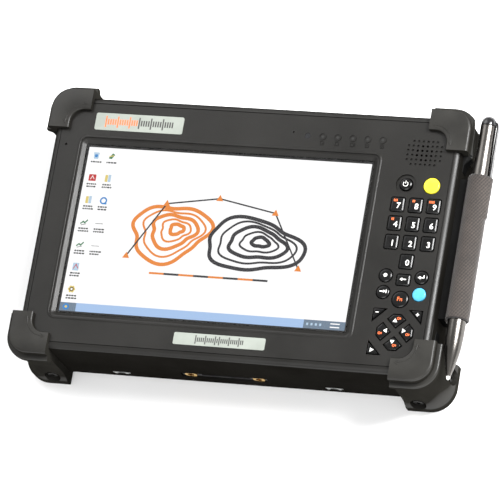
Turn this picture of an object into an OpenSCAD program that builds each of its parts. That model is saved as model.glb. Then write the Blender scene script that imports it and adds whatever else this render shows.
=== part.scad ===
// Rugged tablet data collector: landscape display, keypad on the right,
// four corner bumpers, docking socket in the lower wall, battery in the back,
// and a stylus in a fabric sleeve on the right side.
// It lies on its back: +X along the long side, +Y up the display, +Z out of it.
// The origin is the middle of the bounding box's lower face.

/* [Housing] */
// Width of the housing
housing_w = 219.5; // [215:0.5:280]
// Height of the housing
housing_h = 138.2; // [136:0.2:180]
// Level of the front face above the resting surface
front_z = 42; // [38:0.5:56]
// Gap under the back of the housing
back_gap = 1.5; // [1:0.1:4]
// Corner radius seen from the front
corner_r = 12; // [8:0.5:16]
// Rounding along the front and back edges
edge_r = 3.6; // [2:0.1:4]
// Wall thickness
wall = 2.6; // [2:0.1:3.2]
// Thickness of the front face
face_t = 3; // [2.6:0.1:4]
// Level of the joint between the two housings
split_z = 21; // [18:0.5:24]
// Distance of the edge groove from the edge
groove_inset = 3.4; // [2.5:0.1:5]
// Width and depth of the edge groove
groove_w = 0.45; // [0.3:0.05:0.8]

/* [Display] */
// Width of the active area
active_w = 153.6; // [140:0.1:156]
// Height of the active area
active_h = 90; // [80:0.1:94]
// Active area's distance from the housing's left edge
active_left = 19.65; // [18:0.05:24]
// Active area's centre below the housing's centre
active_drop = 2.6; // [0:0.1:5]
// Black border around the active area
border_w = 1.2; // [0.6:0.1:2]
// Width of the sloped bezel wall
slope_w = 2.2; // [1:0.1:3]
// Width of the step outside the slope
step_w = 1.1; // [0.5:0.1:2]
// Thickness of the touch glass
glass_t = 1.1; // [0.7:0.1:1.6]
// Depth of the glass below the front face
glass_drop = 1.9; // [1.5:0.1:2.4]
// Thickness of the display module
display_t = 7; // [5:0.1:8]

/* [Keypad] */
// Width of a digit key
key_w = 7.2; // [6:0.1:7.6]
// Height of a digit key
key_h = 7.7; // [6:0.1:8.2]
// Distance between key columns
key_pitch_x = 9.5; // [9.3:0.05:10]
// Distance between key rows
key_pitch_y = 10.07; // [9.9:0.01:10.6]
// Middle column's distance from the housing's right edge
key_inset = 19.1; // [18.5:0.1:20.5]
// Height of the keys above the front face
key_proud = 0.8; // [0.4:0.1:1.4]
// Travel of a key
key_travel = 0.8; // [0.4:0.1:1]
// Gap around a key
key_gap = 0.35; // [0.3:0.05:0.45]

/* [Front details] */
// Upper label plate width
upper_label_w = 48.2; // [30:0.1:60]
// Upper label plate height
upper_label_h = 9.4; // [6:0.1:10]
// Lower label plate width
lower_label_w = 49; // [30:0.1:60]
// Lower label plate height
lower_label_h = 6.4; // [5:0.1:7]
// Thickness of a label plate
label_t = 0.6; // [0.4:0.1:1]
// Distance between indicator lenses
led_pitch = 8.03; // [5:0.01:9]
// Distance between speaker holes
grille_pitch = 2.5; // [2:0.05:2.6]
// Radius of a speaker hole
grille_r = 0.62; // [0.4:0.01:0.9]

/* [Bumpers] */
// Bumper ring beyond the housing
bumper_over = 6; // [5:0.1:7]
// Front plate set back from the ring
bumper_step = 2.3; // [1:0.1:3]
// Bumper plate above the front face
bumper_proud = 2.5; // [1.5:0.1:4]
// Length of a bumper's arm from its outer face
bumper_len = 24.3; // [20:0.1:30]
// Width of a bumper's arm
bumper_arm = 11.6; // [9:0.1:14]
// Inner fillet of the bumper
bumper_fillet = 7; // [3:0.1:9]
// Outer corner radius of the bumper
bumper_r = 13; // [8:0.1:16]
// Bumper screw's distance from the housing's edge
bumper_screw_inset = 11; // [8:0.1:13]

/* [Battery] */
// Length of the battery pack
battery_l = 99; // [70:1:100]
// Width of the battery pack over its body
battery_w = 69.3; // [50:0.1:70]
// Thickness of the battery pack
battery_t = 11.6; // [9:0.1:12]
// Travel of the battery latch
latch_travel = 3; // [2:0.1:3.2]
// Distance from the latch to the inner end of the battery bay
latch_back = 30; // [20:0.5:40]

/* [Dock and ports] */
// Dock socket centre from the housing's centre
dock_x = -4; // [-10:0.5:10]
// Distance between the two guide bushes
guide_pitch = 36.7; // [34:0.1:40]
// Bore radius of a guide bush
guide_r = 1.6; // [1.2:0.05:2]
// Depth of a guide bore
guide_l = 8; // [6:0.5:10]
// Port cover width
cover_w = 46; // [44:0.5:60]
// Port cover height
cover_h = 11; // [10:0.5:12]
// Radius of the cover's hinge pin
pin_r = 0.75; // [0.6:0.05:1]
// Running clearance on the hinge pin
pin_gap = 0.05; // [0.03:0.01:0.1]
// Mounting hole spacing along X
mount_x = 30.2; // [25:0.1:40]
// Mounting hole spacing along Y
mount_y = 38; // [30:0.1:45]
// Radius of the mounting holes
mount_r = 2.1; // [1.6:0.1:2.6]

/* [Stylus] */
// Stylus radius at the crown
stylus_top_r = 4.05; // [3.5:0.05:4.2]
// Largest stylus radius
stylus_max_r = 4.75; // [4.3:0.05:4.8]
// Upper end of the barrel
stylus_top = 67.3; // [60:0.1:70]
// Lower end of the barrel
stylus_low = -66.6; // [-67:0.1:-60]
// Height of the stylus axis above the resting surface
stylus_z = 36.8; // [34:0.1:38]
// Clearance between the stylus and the bumper's ring
stylus_gap = 0.6; // [0.4:0.1:2]
// Fabric thickness of the sleeve
sleeve_t = 1; // [0.8:0.1:1.4]
// Upper end of the sleeve
sleeve_top = 39.5; // [30:0.1:42]
// Lower end of the sleeve
sleeve_low = -37.3; // [-40:0.1:-30]

/* [Hidden] */
$fn = 48;
eps = 0.05;
gap = 0.3;
half_w = housing_w / 2;
half_h = housing_h / 2;
screen_x = active_left + active_w / 2 - half_w;
screen_y = -active_drop;
glass_z = front_z - glass_drop;
step_d = 0.5;
lip_z = glass_z + 0.3;
window_w = active_w + 2 * border_w;
window_h = active_h + 2 * border_w;
slope_win_w = window_w + 2 * slope_w;
slope_win_h = window_h + 2 * slope_w;
recess_w = slope_win_w + 2 * step_w;
recess_h = slope_win_h + 2 * step_w;
glass_w = window_w + 4.4;
glass_h = window_h + 4.4;
display_w = glass_w + 2.6;
display_h = glass_h + 2.6;
display_z = glass_z - glass_t;
under_z = front_z - face_t;
frame_t = 2;
frame_top = display_z - display_t;
frame_low = frame_top - frame_t;
key_x = half_w - key_inset;
key_row_1 = 20.6;
key_top = front_z + key_proud;
flange_t = 0.8;
flange_top = under_z - gap;
flange_low = flange_top - flange_t;
flange_out = key_gap + 0.35;
dome_top = flange_low - key_travel - gap;
dome_t = 0.4;
board_t = 1.4;
power_r = 3.3;
yellow_r = 4.2;
round_r = 3.5;
fn_r = 4.3;
arrow_flange_r = 4.2;
corner_flange_r = 2.9;
arrow_y = -47.3;
ring_x = half_w + bumper_over;
ring_y = half_h + bumper_over;
plate_top = front_z + bumper_proud;
bumper_end_x = ring_x - bumper_len;
bumper_end_y = ring_y - bumper_len;
boss_y = half_h - 11.1;
boss_r = 3.2;
screw_r = 1.25;
bay_depth = battery_t + 2 * gap;
bay_top = back_gap + bay_depth;
bay_half = battery_w / 2 + gap + 0.05;
bay_end = -half_w + battery_l + 0.4;
bay_wall = 2.6;
rail_z = back_gap + 5;
rail_t = 2;
rail_out = 1.6;
latch_z = back_gap + 2;
latch_t = 1.5;
latch_half = 6;
latch_x = bay_end - latch_back;
latch_tip = bay_half - gap + latch_travel - 2.25;
notch_d = 4.6;
notch_half = latch_half + 1.6;
dock_z = 13.5;
strike_z = 9;
strike_pitch = 115;
cover_x = 20;
cover_t = 2;
cover_z = 6.6;
hinge_y = half_h - 0.6;
hinge_z = 5.1;
knuckle_r = 1.7;
lug_w = 2.2;
stylus_x = ring_x + stylus_gap + stylus_top_r;
sleeve_bore = stylus_max_r + 0.35;
sleeve_r = sleeve_bore + sleeve_t;
clip_in = stylus_max_r;
clip_t = 0.8;
clip_w = 3;
clip_low = 19.5;
bulge_r = clip_in + clip_t + gap + sleeve_t;
crown_h = 5;
rail_thick = 3.9;
tab_x = half_w + rail_thick;
clamp_z = 27.3;
clamp_t = 1.2;
clamp_pitch = 28;
frame_x = (stylus_x + bulge_r - ring_x) / 2;

body_grey = [0.16, 0.155, 0.145];
rubber_grey = [0.25, 0.25, 0.24];
metal = [0.72, 0.72, 0.74];
board_green = [0.08, 0.3, 0.16];
key_black = [0.03, 0.03, 0.035];

// Moves the housing-centred model to the bounding box's centre.
module place() {
    translate([-frame_x, 0, 0]) children();
}

// Rounded rectangle, centred.
module rr(w, h, r) {
    square([w - 2 * r, h], center = true);
    square([w, h - 2 * r], center = true);
    for (x = [-1, 1], y = [-1, 1]) {
        translate([x * (w / 2 - r), y * (h / 2 - r)]) circle(r);
    }
}

module rr_slab(w, h, r, z0, z1) {
    translate([0, 0, z0]) linear_extrude(z1 - z0) rr(w, h, r);
}

module rr_ring(w, h, r, t, z0, z1) {
    difference() {
        rr_slab(w, h, r, z0, z1);
        rr_slab(w - 2 * t, h - 2 * t, r - t, z0 - 1, z1 + 1);
    }
}

module block(x0, x1, y0, y1, z0, z1) {
    translate([x0, y0, z0]) cube([x1 - x0, y1 - y0, z1 - z0]);
}

module rod(r, z0, z1) {
    translate([0, 0, z0]) cylinder(r = r, h = z1 - z0);
}

// Polygon grown outward by d; its points run anticlockwise.
function side(a, b) = [b.y - a.y, a.x - b.x] / norm(b - a);
function grow(p, d) = [for (i = [0 : len(p) - 1])
    let (n = len(p),
        u = side(p[(i + n - 1) % n], p[i]),
        v = side(p[i], p[(i + 1) % n]))
    p[i] + d * (u + v) / (1 + u * v)];

// Whole outside of both housings.
module envelope() {
    full = front_z - back_gap;
    mid = (front_z + back_gap) / 2;
    intersection() {
        rr_slab(housing_w, housing_h, corner_r, back_gap, front_z);
        translate([0, half_h + 1, mid]) rotate([90, 0, 0])
            linear_extrude(housing_h + 2) rr(housing_w, full, edge_r);
        translate([-half_w - 1, 0, mid]) rotate([90, 0, 90])
            linear_extrude(housing_w + 2) rr(housing_h, full, edge_r);
    }
}

// Places children at the six housing screws.
module at_bosses() {
    for (x = [-80, dock_x, half_w - 38.75], y = [-boss_y, boss_y]) {
        translate([x, y, 0]) children();
    }
}

// Places children at the two strike plates in the lower wall.
module at_strikes() {
    for (s = [-1, 1]) translate([dock_x + s * strike_pitch / 2, -half_h, strike_z]) children();
}

// Places children at the sleeve clamp's screws, axis along +X.
module at_clamp_screws() {
    for (i = [-1 : 1]) {
        translate([0, (sleeve_top + sleeve_low) / 2 + i * clamp_pitch, clamp_z])
            rotate([0, 90, 0]) children();
    }
}

// Places children at one bumper's two screws; the axis points outward.
module at_bumper_screws() {
    translate([half_w, half_h - bumper_screw_inset, 9]) rotate([0, 90, 0]) children();
    translate([half_w - bumper_screw_inset, half_h, 9]) rotate([-90, 0, 0]) children();
}

module at_corners() {
    for (x = [0, 1], y = [0, 1]) {
        mirror([x, 0, 0]) mirror([0, y, 0]) children();
    }
}

/* Key outlines, about the middle column */
power_at = [-6.9, 31.7];
yellow_at = [6.7, 31.6];
point_at = [-9.5, -17.6];
backspace_at = [0, -19.4];
enter_at = [9.3, -17.6];
tab_at = [-9.5, -26.5];
fn_at = [0, -29.8];
blue_at = [9.4, -26.6];
backspace_size = [7.3, 6];
arrow_shape = [[0, 2.35], [4.75, 6.85], [2, 9.5], [-2, 9.5], [-4.75, 6.85]];
minus_shape = [[-12.7, -41.8], [-6.3, -35.3], [-12.7, -35.3]];
plus_shape = [[12.7, -41.8], [12.7, -35.3], [6.3, -35.3]];
pointer_shape = [[-12.7, -59.5], [-6.1, -59.5], [-12.7, -52.9]];

function digit_at(c, r) = [(c - 1) * key_pitch_x, key_row_1 - r * key_pitch_y];

module rect_outline(at, size, d) {
    translate(at) rr(size.x + 2 * d, size.y + 2 * d, 1 + d);
}

module round_outline(at, r, d) {
    translate(at) circle(r + d);
}

module arrow_outline(turn, d) {
    translate([0, arrow_y]) rotate(turn) polygon(grow(arrow_shape, d));
}

// Openings in the front face for every key.
module key_openings() {
    for (c = [0 : 2], r = [0 : 2]) rect_outline(digit_at(c, r), [key_w, key_h], key_gap);
    rect_outline(digit_at(1, 3), [key_w, key_h], key_gap);
    rect_outline(backspace_at, backspace_size, key_gap);
    round_outline(power_at, power_r, key_gap);
    round_outline(yellow_at, yellow_r, key_gap);
    round_outline(fn_at, fn_r, key_gap);
    for (at = [point_at, enter_at, tab_at, blue_at]) round_outline(at, round_r, key_gap);
    for (turn = [0 : 90 : 270]) arrow_outline(turn, key_gap);
    for (shape = [minus_shape, plus_shape, pointer_shape]) polygon(grow(shape, key_gap));
}

module four_slopes() {
    depth = front_z - step_d - lip_z;
    for (s = [-1, 1]) {
        translate([screen_x, screen_y + s * window_h / 2, lip_z]) rotate([90, 0, 90])
            linear_extrude(slope_win_w, center = true)
            polygon([[0, 0], [s * slope_w, depth + eps], [-s * 1, depth + eps], [-s * 1, 0]]);
        translate([screen_x + s * window_w / 2, screen_y, lip_z]) rotate([90, 0, 0])
            linear_extrude(slope_win_h, center = true)
            polygon([[0, 0], [s * slope_w, depth + eps], [-s * 1, depth + eps], [-s * 1, 0]]);
    }
}

module grille(through) {
    rows = [6, 8, 8, 8, 8, 6];
    open = [0, 2, 4, 4, 2, 0];
    for (r = [0 : 5], c = [0 : rows[r] - 1]) {
        from_mid = abs(c - (rows[r] - 1) / 2);
        is_open = from_mid < open[r] / 2;
        if (is_open == through) {
            translate([(c - (rows[r] - 1) / 2) * grille_pitch, (2.5 - r) * grille_pitch]) circle(grille_r);
        }
    }
}

led_x = 51.65;
led_y = 54.6;
led_r = 0.7;
sensor_x = 27.5;
sensor_r = 1.6;
mic_at = [19.7, 56.2, 0];
mic_r = 0.45;
pin_hole_at = [-102.2, 42.2, 0];
pin_hole_r = 0.6;
mount_centre = 62;
board_half = [half_w - 8.75, half_h - 9.1];
board_post_x = board_half.x - 5;
board_post_y = board_half.y - 4;
grille_y = 48.9;
upper_label_at = [-64.3, 55.8];
lower_label_at = [-0.4, -58.7];

module front_housing() {
    color(body_grey) place() {
        difference() {
            intersection() {
                envelope();
                rr_slab(housing_w + 2, housing_h + 2, corner_r, split_z, front_z + 1);
            }
            rr_slab(housing_w - 2 * wall, housing_h - 2 * wall, corner_r - wall, split_z - 1, under_z);
            // seal groove
            rr_ring(housing_w - 1.4, housing_h - 1.4, corner_r - 0.7, 1.2, split_z - 1, split_z + 0.6);
            // glass pocket under the bezel lip
            translate([screen_x, screen_y, 0])
                rr_slab(display_w + 0.6, display_h + 0.6, 2, under_z - 1, lip_z);
            // display window: sloped wall inside a shallow step
            translate([screen_x, screen_y, 0])
                rr_slab(recess_w, recess_h, 3, front_z - step_d, front_z + 1);
            translate([screen_x, screen_y, 0]) rr_slab(window_w, window_h, 0.8, under_z - 1, front_z + 1);
            four_slopes();
            // edge groove
            rr_ring(housing_w - 2 * groove_inset, housing_h - 2 * groove_inset, corner_r - groove_inset,
                groove_w, front_z - groove_w, front_z + 1);
            translate([key_x, 0, under_z - 1]) linear_extrude(face_t + 2) key_openings();
            // ring recess round the power key
            translate([key_x + power_at.x, power_at.y, 0]) rod(5.3, front_z - 0.8, front_z + 1);
            translate([key_x, grille_y, under_z - 1]) linear_extrude(face_t + 2) grille(true);
            translate([key_x, grille_y, front_z - 0.7]) linear_extrude(2) grille(false);
            for (i = [-2 : 2]) translate([led_x + i * led_pitch, led_y, 0])
                rod(led_r, under_z - 1, front_z + 1);
            translate([sensor_x, led_y, 0]) rod(sensor_r, under_z - 1, front_z + 1);
            translate(mic_at) rod(mic_r, under_z - 1, front_z + 1);
            translate(pin_hole_at) rod(pin_hole_r, front_z - 1.2, front_z + 1);
            translate(upper_label_at)
                rr_slab(upper_label_w + 0.4, upper_label_h + 0.4, 1.2, front_z - label_t + 0.1,
                    front_z + 1);
            translate(lower_label_at)
                rr_slab(lower_label_w + 0.4, lower_label_h + 0.4, 1, front_z - label_t + 0.1, front_z + 1);
            at_clamp_screws() rod(screw_r, half_w - wall - 1, half_w + 1);
        }
        difference() {
            union() {
                at_bosses() rod(boss_r, frame_top, under_z + eps);
                at_clamp_screws() rod(2.4, half_w - wall - 3.5, half_w - wall + eps);
            }
            at_bosses() rod(screw_r, frame_top - 1, under_z - 1);
            at_clamp_screws() rod(screw_r, half_w - wall - 4, half_w);
        }
    }
}

module rear_housing() {
    boss_low = back_gap + wall;
    color(body_grey) place() difference() {
        union() {
            difference() {
                intersection() {
                    envelope();
                    rr_slab(housing_w + 2, housing_h + 2, corner_r, 0, split_z);
                }
                rr_slab(housing_w - 2 * wall, housing_h - 2 * wall, corner_r - wall, back_gap + wall,
                    split_z + 1);
                rr_ring(housing_w - 1.4, housing_h - 1.4, corner_r - 0.7, 1.2, split_z - 0.6, split_z + 1);
            }
            // box round the battery bay
            block(-half_w + edge_r, bay_end + bay_wall, -bay_half - 2 * bay_wall,
                bay_half + 2 * bay_wall, boss_low - eps, bay_top + 2);
            at_bosses() rod(boss_r + 1, boss_low - eps, frame_low);
            // pad that guides the latch
            block(latch_x - latch_half - 3, latch_x + latch_half + 3, bay_half + 2 * bay_wall - eps,
                latch_tip + 26, boss_low - eps, back_gap + 6);
            // bosses of the mounting holes
            for (x = [-1, 1], y = [-1, 1])
                translate([mount_centre + x * mount_x / 2, y * mount_y / 2, 0])
                    rod(mount_r + 2.4, boss_low - eps, 11.5);
            // blocks that take the bumper screws
            at_corners() at_bumper_screws() rod(4, -wall - 5, -wall + eps);
            // thicker wall behind the port pocket
            block(cover_x - cover_w / 2 - 2, cover_x + cover_w / 2 + 2, half_h - wall - 3,
                half_h - wall + eps, boss_low - eps, 19);
            // housing of the dock socket
            block(dock_x - 26, dock_x + 26, -half_h + wall - eps, -half_h + 12, dock_z - 6, dock_z + 6);
        }
        // battery bay, open at the back and the left wall, with its rail grooves
        block(-half_w - 1, bay_end, -bay_half, bay_half, back_gap - 1, bay_top);
        block(-half_w - 1, bay_end, -bay_half - rail_out - 0.1, bay_half + rail_out + 0.1, rail_z - gap,
            rail_z + rail_t + gap);
        // latch slot and the thumb opening under it
        block(latch_x - latch_half - gap, latch_x + latch_half + gap, bay_half - 1, latch_tip + 22,
            latch_z - gap, latch_z + latch_t + gap);
        block(latch_x - 4.8, latch_x + 4.8, latch_tip + 5.5, latch_tip + 19.2, back_gap - 1, latch_z);
        at_bosses() {
            rod(screw_r + 0.25, back_gap - 1, frame_low + 1);
            rod(2.9, back_gap - 1, back_gap + 4);
        }
        for (x = [-1, 1], y = [-1, 1])
            translate([mount_centre + x * mount_x / 2, y * mount_y / 2, 0])
                rod(mount_r, back_gap - 1, back_gap + 8);
        at_corners() at_bumper_screws() rod(screw_r, -wall - 3.5, 1);
        // dock socket recess
        block(dock_x - 23.5, dock_x + 23.5, -half_h - 1, -half_h + 9.5, dock_z - 3.4, dock_z + 3.4);
        // port pocket
        block(cover_x - cover_w / 2 - gap, cover_x + cover_w / 2 + gap, half_h - cover_t - gap, half_h + 1,
            hinge_z - knuckle_r - gap, cover_z + cover_h + gap);
        port_cutouts();
        at_strikes() block(-5, 5, -1, 1, -1.5, 1.5);
    }
    color(body_grey) place() {
        // lugs of the port cover's pin
        for (s = [-1, 1]) translate([cover_x + s * (cover_w / 2 + gap - lug_w / 2), hinge_y, hinge_z])
            rotate([0, 90, 0]) difference() {
                union() {
                    cylinder(r = knuckle_r, h = lug_w, center = true);
                    translate([-knuckle_r - gap - eps, -hinge_y + half_h - cover_t - gap - eps, -lug_w / 2])
                        cube([2 * knuckle_r + 2 * gap, hinge_y - half_h + cover_t + gap + eps, lug_w]);
                }
                cylinder(r = pin_r, h = lug_w + 1, center = true);
            }
        // posts under the main board
        for (x = [-1, 1], y = [-1, 1]) translate([x * board_post_x, y * board_post_y, 0])
            rod(3, back_gap + wall - eps, 24);
    }
}

// The two USB openings and the two round jacks, as solids through the pocket's floor.
usb_size = [13.4, 5.6];
usb_x = [-12.5, 2.5];
jack_x = [13.4, 20.2];
jack_r = [2.9, 1.8];
port_z = 12;
port_y0 = half_h - cover_t - gap;
module port_cutouts() {
    for (x = usb_x) block(cover_x + x - usb_size.x / 2, cover_x + x + usb_size.x / 2,
        port_y0 - wall - 1, port_y0 + eps, port_z - usb_size.y / 2, port_z + usb_size.y / 2);
    for (i = [0, 1]) translate([cover_x + jack_x[i], port_y0 + eps, port_z])
        rotate([90, 0, 0]) cylinder(r = jack_r[i] + 0.6, h = wall + 1 + eps);
}

module housing_seal() {
    color([0.1, 0.1, 0.1]) place()
        rr_ring(housing_w - 1.5, housing_h - 1.5, corner_r - 0.75, 1.1, split_z - 0.6, split_z + 0.6);
}

module touch_glass() {
    color([0.6, 0.65, 0.68, 0.35]) place() translate([screen_x, screen_y, 0])
        rr_slab(glass_w, glass_h, 2, display_z, glass_z);
}

module display_module() {
    color([0.75, 0.78, 0.8]) place() translate([screen_x, screen_y, 0])
        rr_slab(display_w, display_h, 1.5, frame_top, display_z);
}

module display_gasket() {
    color([0.05, 0.05, 0.05]) place() translate([screen_x, screen_y, 0])
        rr_ring(glass_w, glass_h, 2, 1.6, glass_z, lip_z);
}

// Aluminium frame under the display; it carries both boards.
module mid_frame() {
    color(metal) place() difference() {
        union() {
            rr_slab(housing_w - 2 * wall - 7, housing_h - 2 * wall - 1, 9, frame_low, frame_top);
            for (x = [-90, -30, 30, 90], y = [-48, 48])
                translate([x, y, 0]) rod(3, 25.6, frame_low + eps);
            for (x = [-12.5, 12], y = [-59, -9.3, 36])
                translate([key_x + x, y, 0]) rod(1.4, frame_top - eps, dome_top - dome_t - board_t);
        }
        at_bosses() rod(screw_r + 0.25, frame_low - 1, frame_top + 1);
    }
}

module main_board() {
    color(board_green) place() difference() {
        union() {
            block(-board_half.x, board_half.x, -board_half.y, board_half.y, 24, 25.6);
            // processor, memory and radio shields
            block(-20, 12, -18, 14, 25.6 - eps, 28.2);
            block(20, 52, -12, 16, 25.6 - eps, 27.4);
            block(60, 84, -30, -8, 25.6 - eps, 28);
            // wiring socket down to the dock
            block(dock_x - 20, dock_x + 20, -board_half.y + 4, -board_half.y + 10, 19.6, 24 + eps);
        }
        at_bosses() rod(boss_r + 1.5, 19, 30);
    }
}

module storage_module() {
    color(metal) place() block(-78, -38, -24, 12, 25.6, 29);
}

module keypad_board() {
    low = dome_top - dome_t - board_t;
    color(board_green) place() translate([key_x, 0, 0]) {
        block(-14.4, 15.6, -61, 38, low, low + board_t);
        for (at = concat([for (c = [0 : 2], r = [0 : 2]) digit_at(c, r)],
            [digit_at(1, 3), power_at, yellow_at, point_at, backspace_at, enter_at, tab_at, fn_at, blue_at,
            [-10.8, -37.2], [10.8, -37.2], [-10.8, -57.6]],
            [for (turn = [0 : 90 : 270]) [0, arrow_y] + 6.4 * [-sin(turn), cos(turn)]]))
            translate(at) rod(1.8, low + board_t - eps, dome_top);
    }
}

module speaker() {
    color([0.12, 0.12, 0.13]) place() translate([key_x, grille_y, 0]) difference() {
        rr_slab(20, 16.4, 2, under_z - 5, under_z);
        rod(6, under_z - 1.5, under_z + 1);
    }
}

module indicator_lenses() {
    color([0.55, 0.6, 0.55]) place() for (i = [-2 : 2])
        translate([led_x + i * led_pitch, led_y, 0]) {
            rod(led_r, under_z - 0.2, front_z);
            rod(led_r + 0.8, under_z - 1, under_z);
        }
}

module sensor_lens() {
    color([0.2, 0.22, 0.25]) place() translate([sensor_x, led_y, 0]) {
        rod(sensor_r, under_z - 0.2, front_z - 0.2);
        rod(sensor_r + 0.8, under_z - 1, under_z);
    }
}

module upper_label_plate() {
    color([0.9, 0.92, 0.9]) place() translate(upper_label_at)
        rr_slab(upper_label_w, upper_label_h, 1, front_z - label_t + 0.1, front_z + 0.1);
}

module lower_label_plate() {
    color([0.9, 0.92, 0.9]) place() translate(lower_label_at)
        rr_slab(lower_label_w, lower_label_h, 0.8, front_z - label_t + 0.1, front_z + 0.1);
}

// L-shaped outline of a bumper in the +X +Y corner, set back by d.
module corner_l(d, arm) {
    x1 = ring_x - d;
    y1 = ring_y - d;
    r = bumper_r - d;
    inner = 2 * bumper_len;
    difference() {
        union() {
            translate([bumper_end_x, bumper_end_y]) square([bumper_len - d - r, bumper_len - d]);
            translate([bumper_end_x, bumper_end_y]) square([bumper_len - d, bumper_len - d - r]);
            translate([x1 - r, y1 - r]) circle(r);
        }
        translate([ring_x - arm - inner / 2, ring_y - arm - inner / 2]) rr(inner, inner, bumper_fillet);
    }
}

module bumper() {
    arm = bumper_arm + bumper_step;
    difference() {
        union() {
            translate([0, 0, 0.4]) linear_extrude(plate_top - 0.4) corner_l(bumper_step, arm);
            // ring near the front and flange at the back
            translate([0, 0, front_z - 7.2]) linear_extrude(4.6) corner_l(0, arm);
            linear_extrude(6.2) corner_l(0, arm);
            translate([0, 0, 6.2 - eps]) linear_extrude(2.2) corner_l(0.8, arm);
            translate([0, 0, 8.4 - eps]) linear_extrude(2.4) corner_l(1.6, arm);
            // skirt that tapers along the side wall
            translate([0, 0, front_z - 16]) linear_extrude(11)
                polygon([[half_w - 1, bumper_end_y - 8], [half_w + 0.2, bumper_end_y - 8],
                    [ring_x - bumper_step, bumper_end_y + 1], [half_w - 1, bumper_end_y + 1]]);
        }
        envelope();
        // screw seats, sunk from outside
        at_bumper_screws() {
            rod(1.6, -1, bumper_over + 1);
            rod(3, 2.2, bumper_over + 1);
        }
    }
}

// The stylus passes this bumper when it is drawn out, so its side is hollowed a little.
module bumper_top_right() {
    color(rubber_grey) place() difference() {
        bumper();
        translate([stylus_x, ring_y + 1, stylus_z]) rotate([90, 0, 0])
            cylinder(r = stylus_max_r + gap, h = bumper_len + 12);
    }
}

module bumper_top_left() {
    color(rubber_grey) place() mirror([1, 0, 0]) bumper();
}

module bumper_bottom_right() {
    color(rubber_grey) place() mirror([0, 1, 0]) bumper();
}

module bumper_bottom_left() {
    color(rubber_grey) place() mirror([1, 0, 0]) mirror([0, 1, 0]) bumper();
}

// Screws that enter from the sides: two per bumper, and those of the sleeve clamp.
module side_screws() {
    seat = tab_x + sleeve_t + clamp_t;
    color(metal) place() {
        at_corners() at_bumper_screws() difference() {
            union() {
                rod(screw_r, -wall - 3, 2.2 + eps);
                rod(2.7, 2.2, 4);
            }
            rotate(30) translate([0, 0, 3]) cylinder(r = 1.3, h = 2, $fn = 6);
        }
        at_clamp_screws() difference() {
            union() {
                rod(screw_r, half_w - wall - 3, seat + eps);
                rod(2.3, seat, seat + 1.3);
            }
            translate([0, 0, seat + 0.6]) cylinder(r = 1.1, h = 2, $fn = 6);
        }
    }
}

module housing_screws() {
    color(metal) place() at_bosses() difference() {
        union() {
            rod(screw_r, back_gap + 4, under_z - 2);
            rod(2.6, back_gap + 2, back_gap + 4);
        }
        translate([0, 0, back_gap + 1]) cylinder(r = 1.2, h = 2, $fn = 6);
    }
}

// Dock socket: a contact row between the holes of the two guide bushes.
module dock_connector() {
    face_y = -half_h + 1.2;
    color([0.08, 0.08, 0.09]) place() {
        difference() {
            block(dock_x - 23.5, dock_x + 23.5, face_y, -half_h + 9.5, dock_z - 3.4, dock_z + 3.4);
            block(dock_x - 13, dock_x + 13, face_y - 1, face_y + 3, dock_z - 1.9, dock_z + 1.9);
            for (s = [-1, 1]) translate([dock_x + s * guide_pitch / 2, face_y - 1, dock_z])
                rotate([-90, 0, 0]) cylinder(r = guide_r + 0.9, h = 12);
        }
        for (i = [-5 : 5]) block(dock_x + i * 2.2 - 0.5, dock_x + i * 2.2 + 0.5, face_y + 1,
            face_y + 3.2, dock_z - 1, dock_z + 1);
    }
}

// Steel strike plates that a cradle's latches catch.
module dock_strikes() {
    color(metal) place() at_strikes() difference() {
        union() {
            block(-5, 5, 0.4, 1, -1.5, 1.5);
            for (x = [-3, 3]) translate([x, 0, 0]) rotate([-90, 0, 0]) cylinder(r = 1.1, h = 0.5);
        }
        block(-1.4, 1.4, 0, 0.7, -0.6, 0.6);
    }
}

module dock_guide_bushes() {
    color([0.8, 0.62, 0.25]) place() for (s = [-1, 1])
        translate([dock_x + s * guide_pitch / 2, -half_h + 0.5, dock_z]) rotate([-90, 0, 0]) difference() {
            union() {
                cylinder(r = guide_r + 0.9, h = 9);
                cylinder(r = guide_r + 1.6, h = 0.7);
            }
            translate([0, 0, -1]) cylinder(r = guide_r, h = guide_l + 1);
        }
}

module io_ports() {
    color(metal) place() {
        for (x = usb_x) difference() {
            block(cover_x + x - usb_size.x / 2, cover_x + x + usb_size.x / 2, port_y0 - 12, port_y0,
                port_z - usb_size.y / 2, port_z + usb_size.y / 2);
            difference() {
                block(cover_x + x - usb_size.x / 2 + 0.4, cover_x + x + usb_size.x / 2 - 0.4,
                    port_y0 - 9, port_y0 + 1,
                    port_z - usb_size.y / 2 + 0.4, port_z + usb_size.y / 2 - 0.4);
                block(cover_x + x - 5.6, cover_x + x + 5.6, port_y0 - 10, port_y0 - 1, port_z - 0.1,
                    port_z + 1.7);
            }
        }
        for (i = [0, 1]) translate([cover_x + jack_x[i], port_y0, port_z]) rotate([90, 0, 0]) difference() {
            cylinder(r = jack_r[i] + 0.6, h = 12);
            translate([0, 0, -1]) difference() {
                cylinder(r = jack_r[i], h = 9);
                if (i == 0) translate([0, 0, 2]) cylinder(r = 0.8, h = 8);
            }
        }
    }
}

module port_cover_pin() {
    color(metal) place() translate([cover_x, hinge_y, hinge_z]) rotate([0, 90, 0])
        cylinder(r = pin_r, h = cover_w + 2 * gap, center = true);
}

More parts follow.
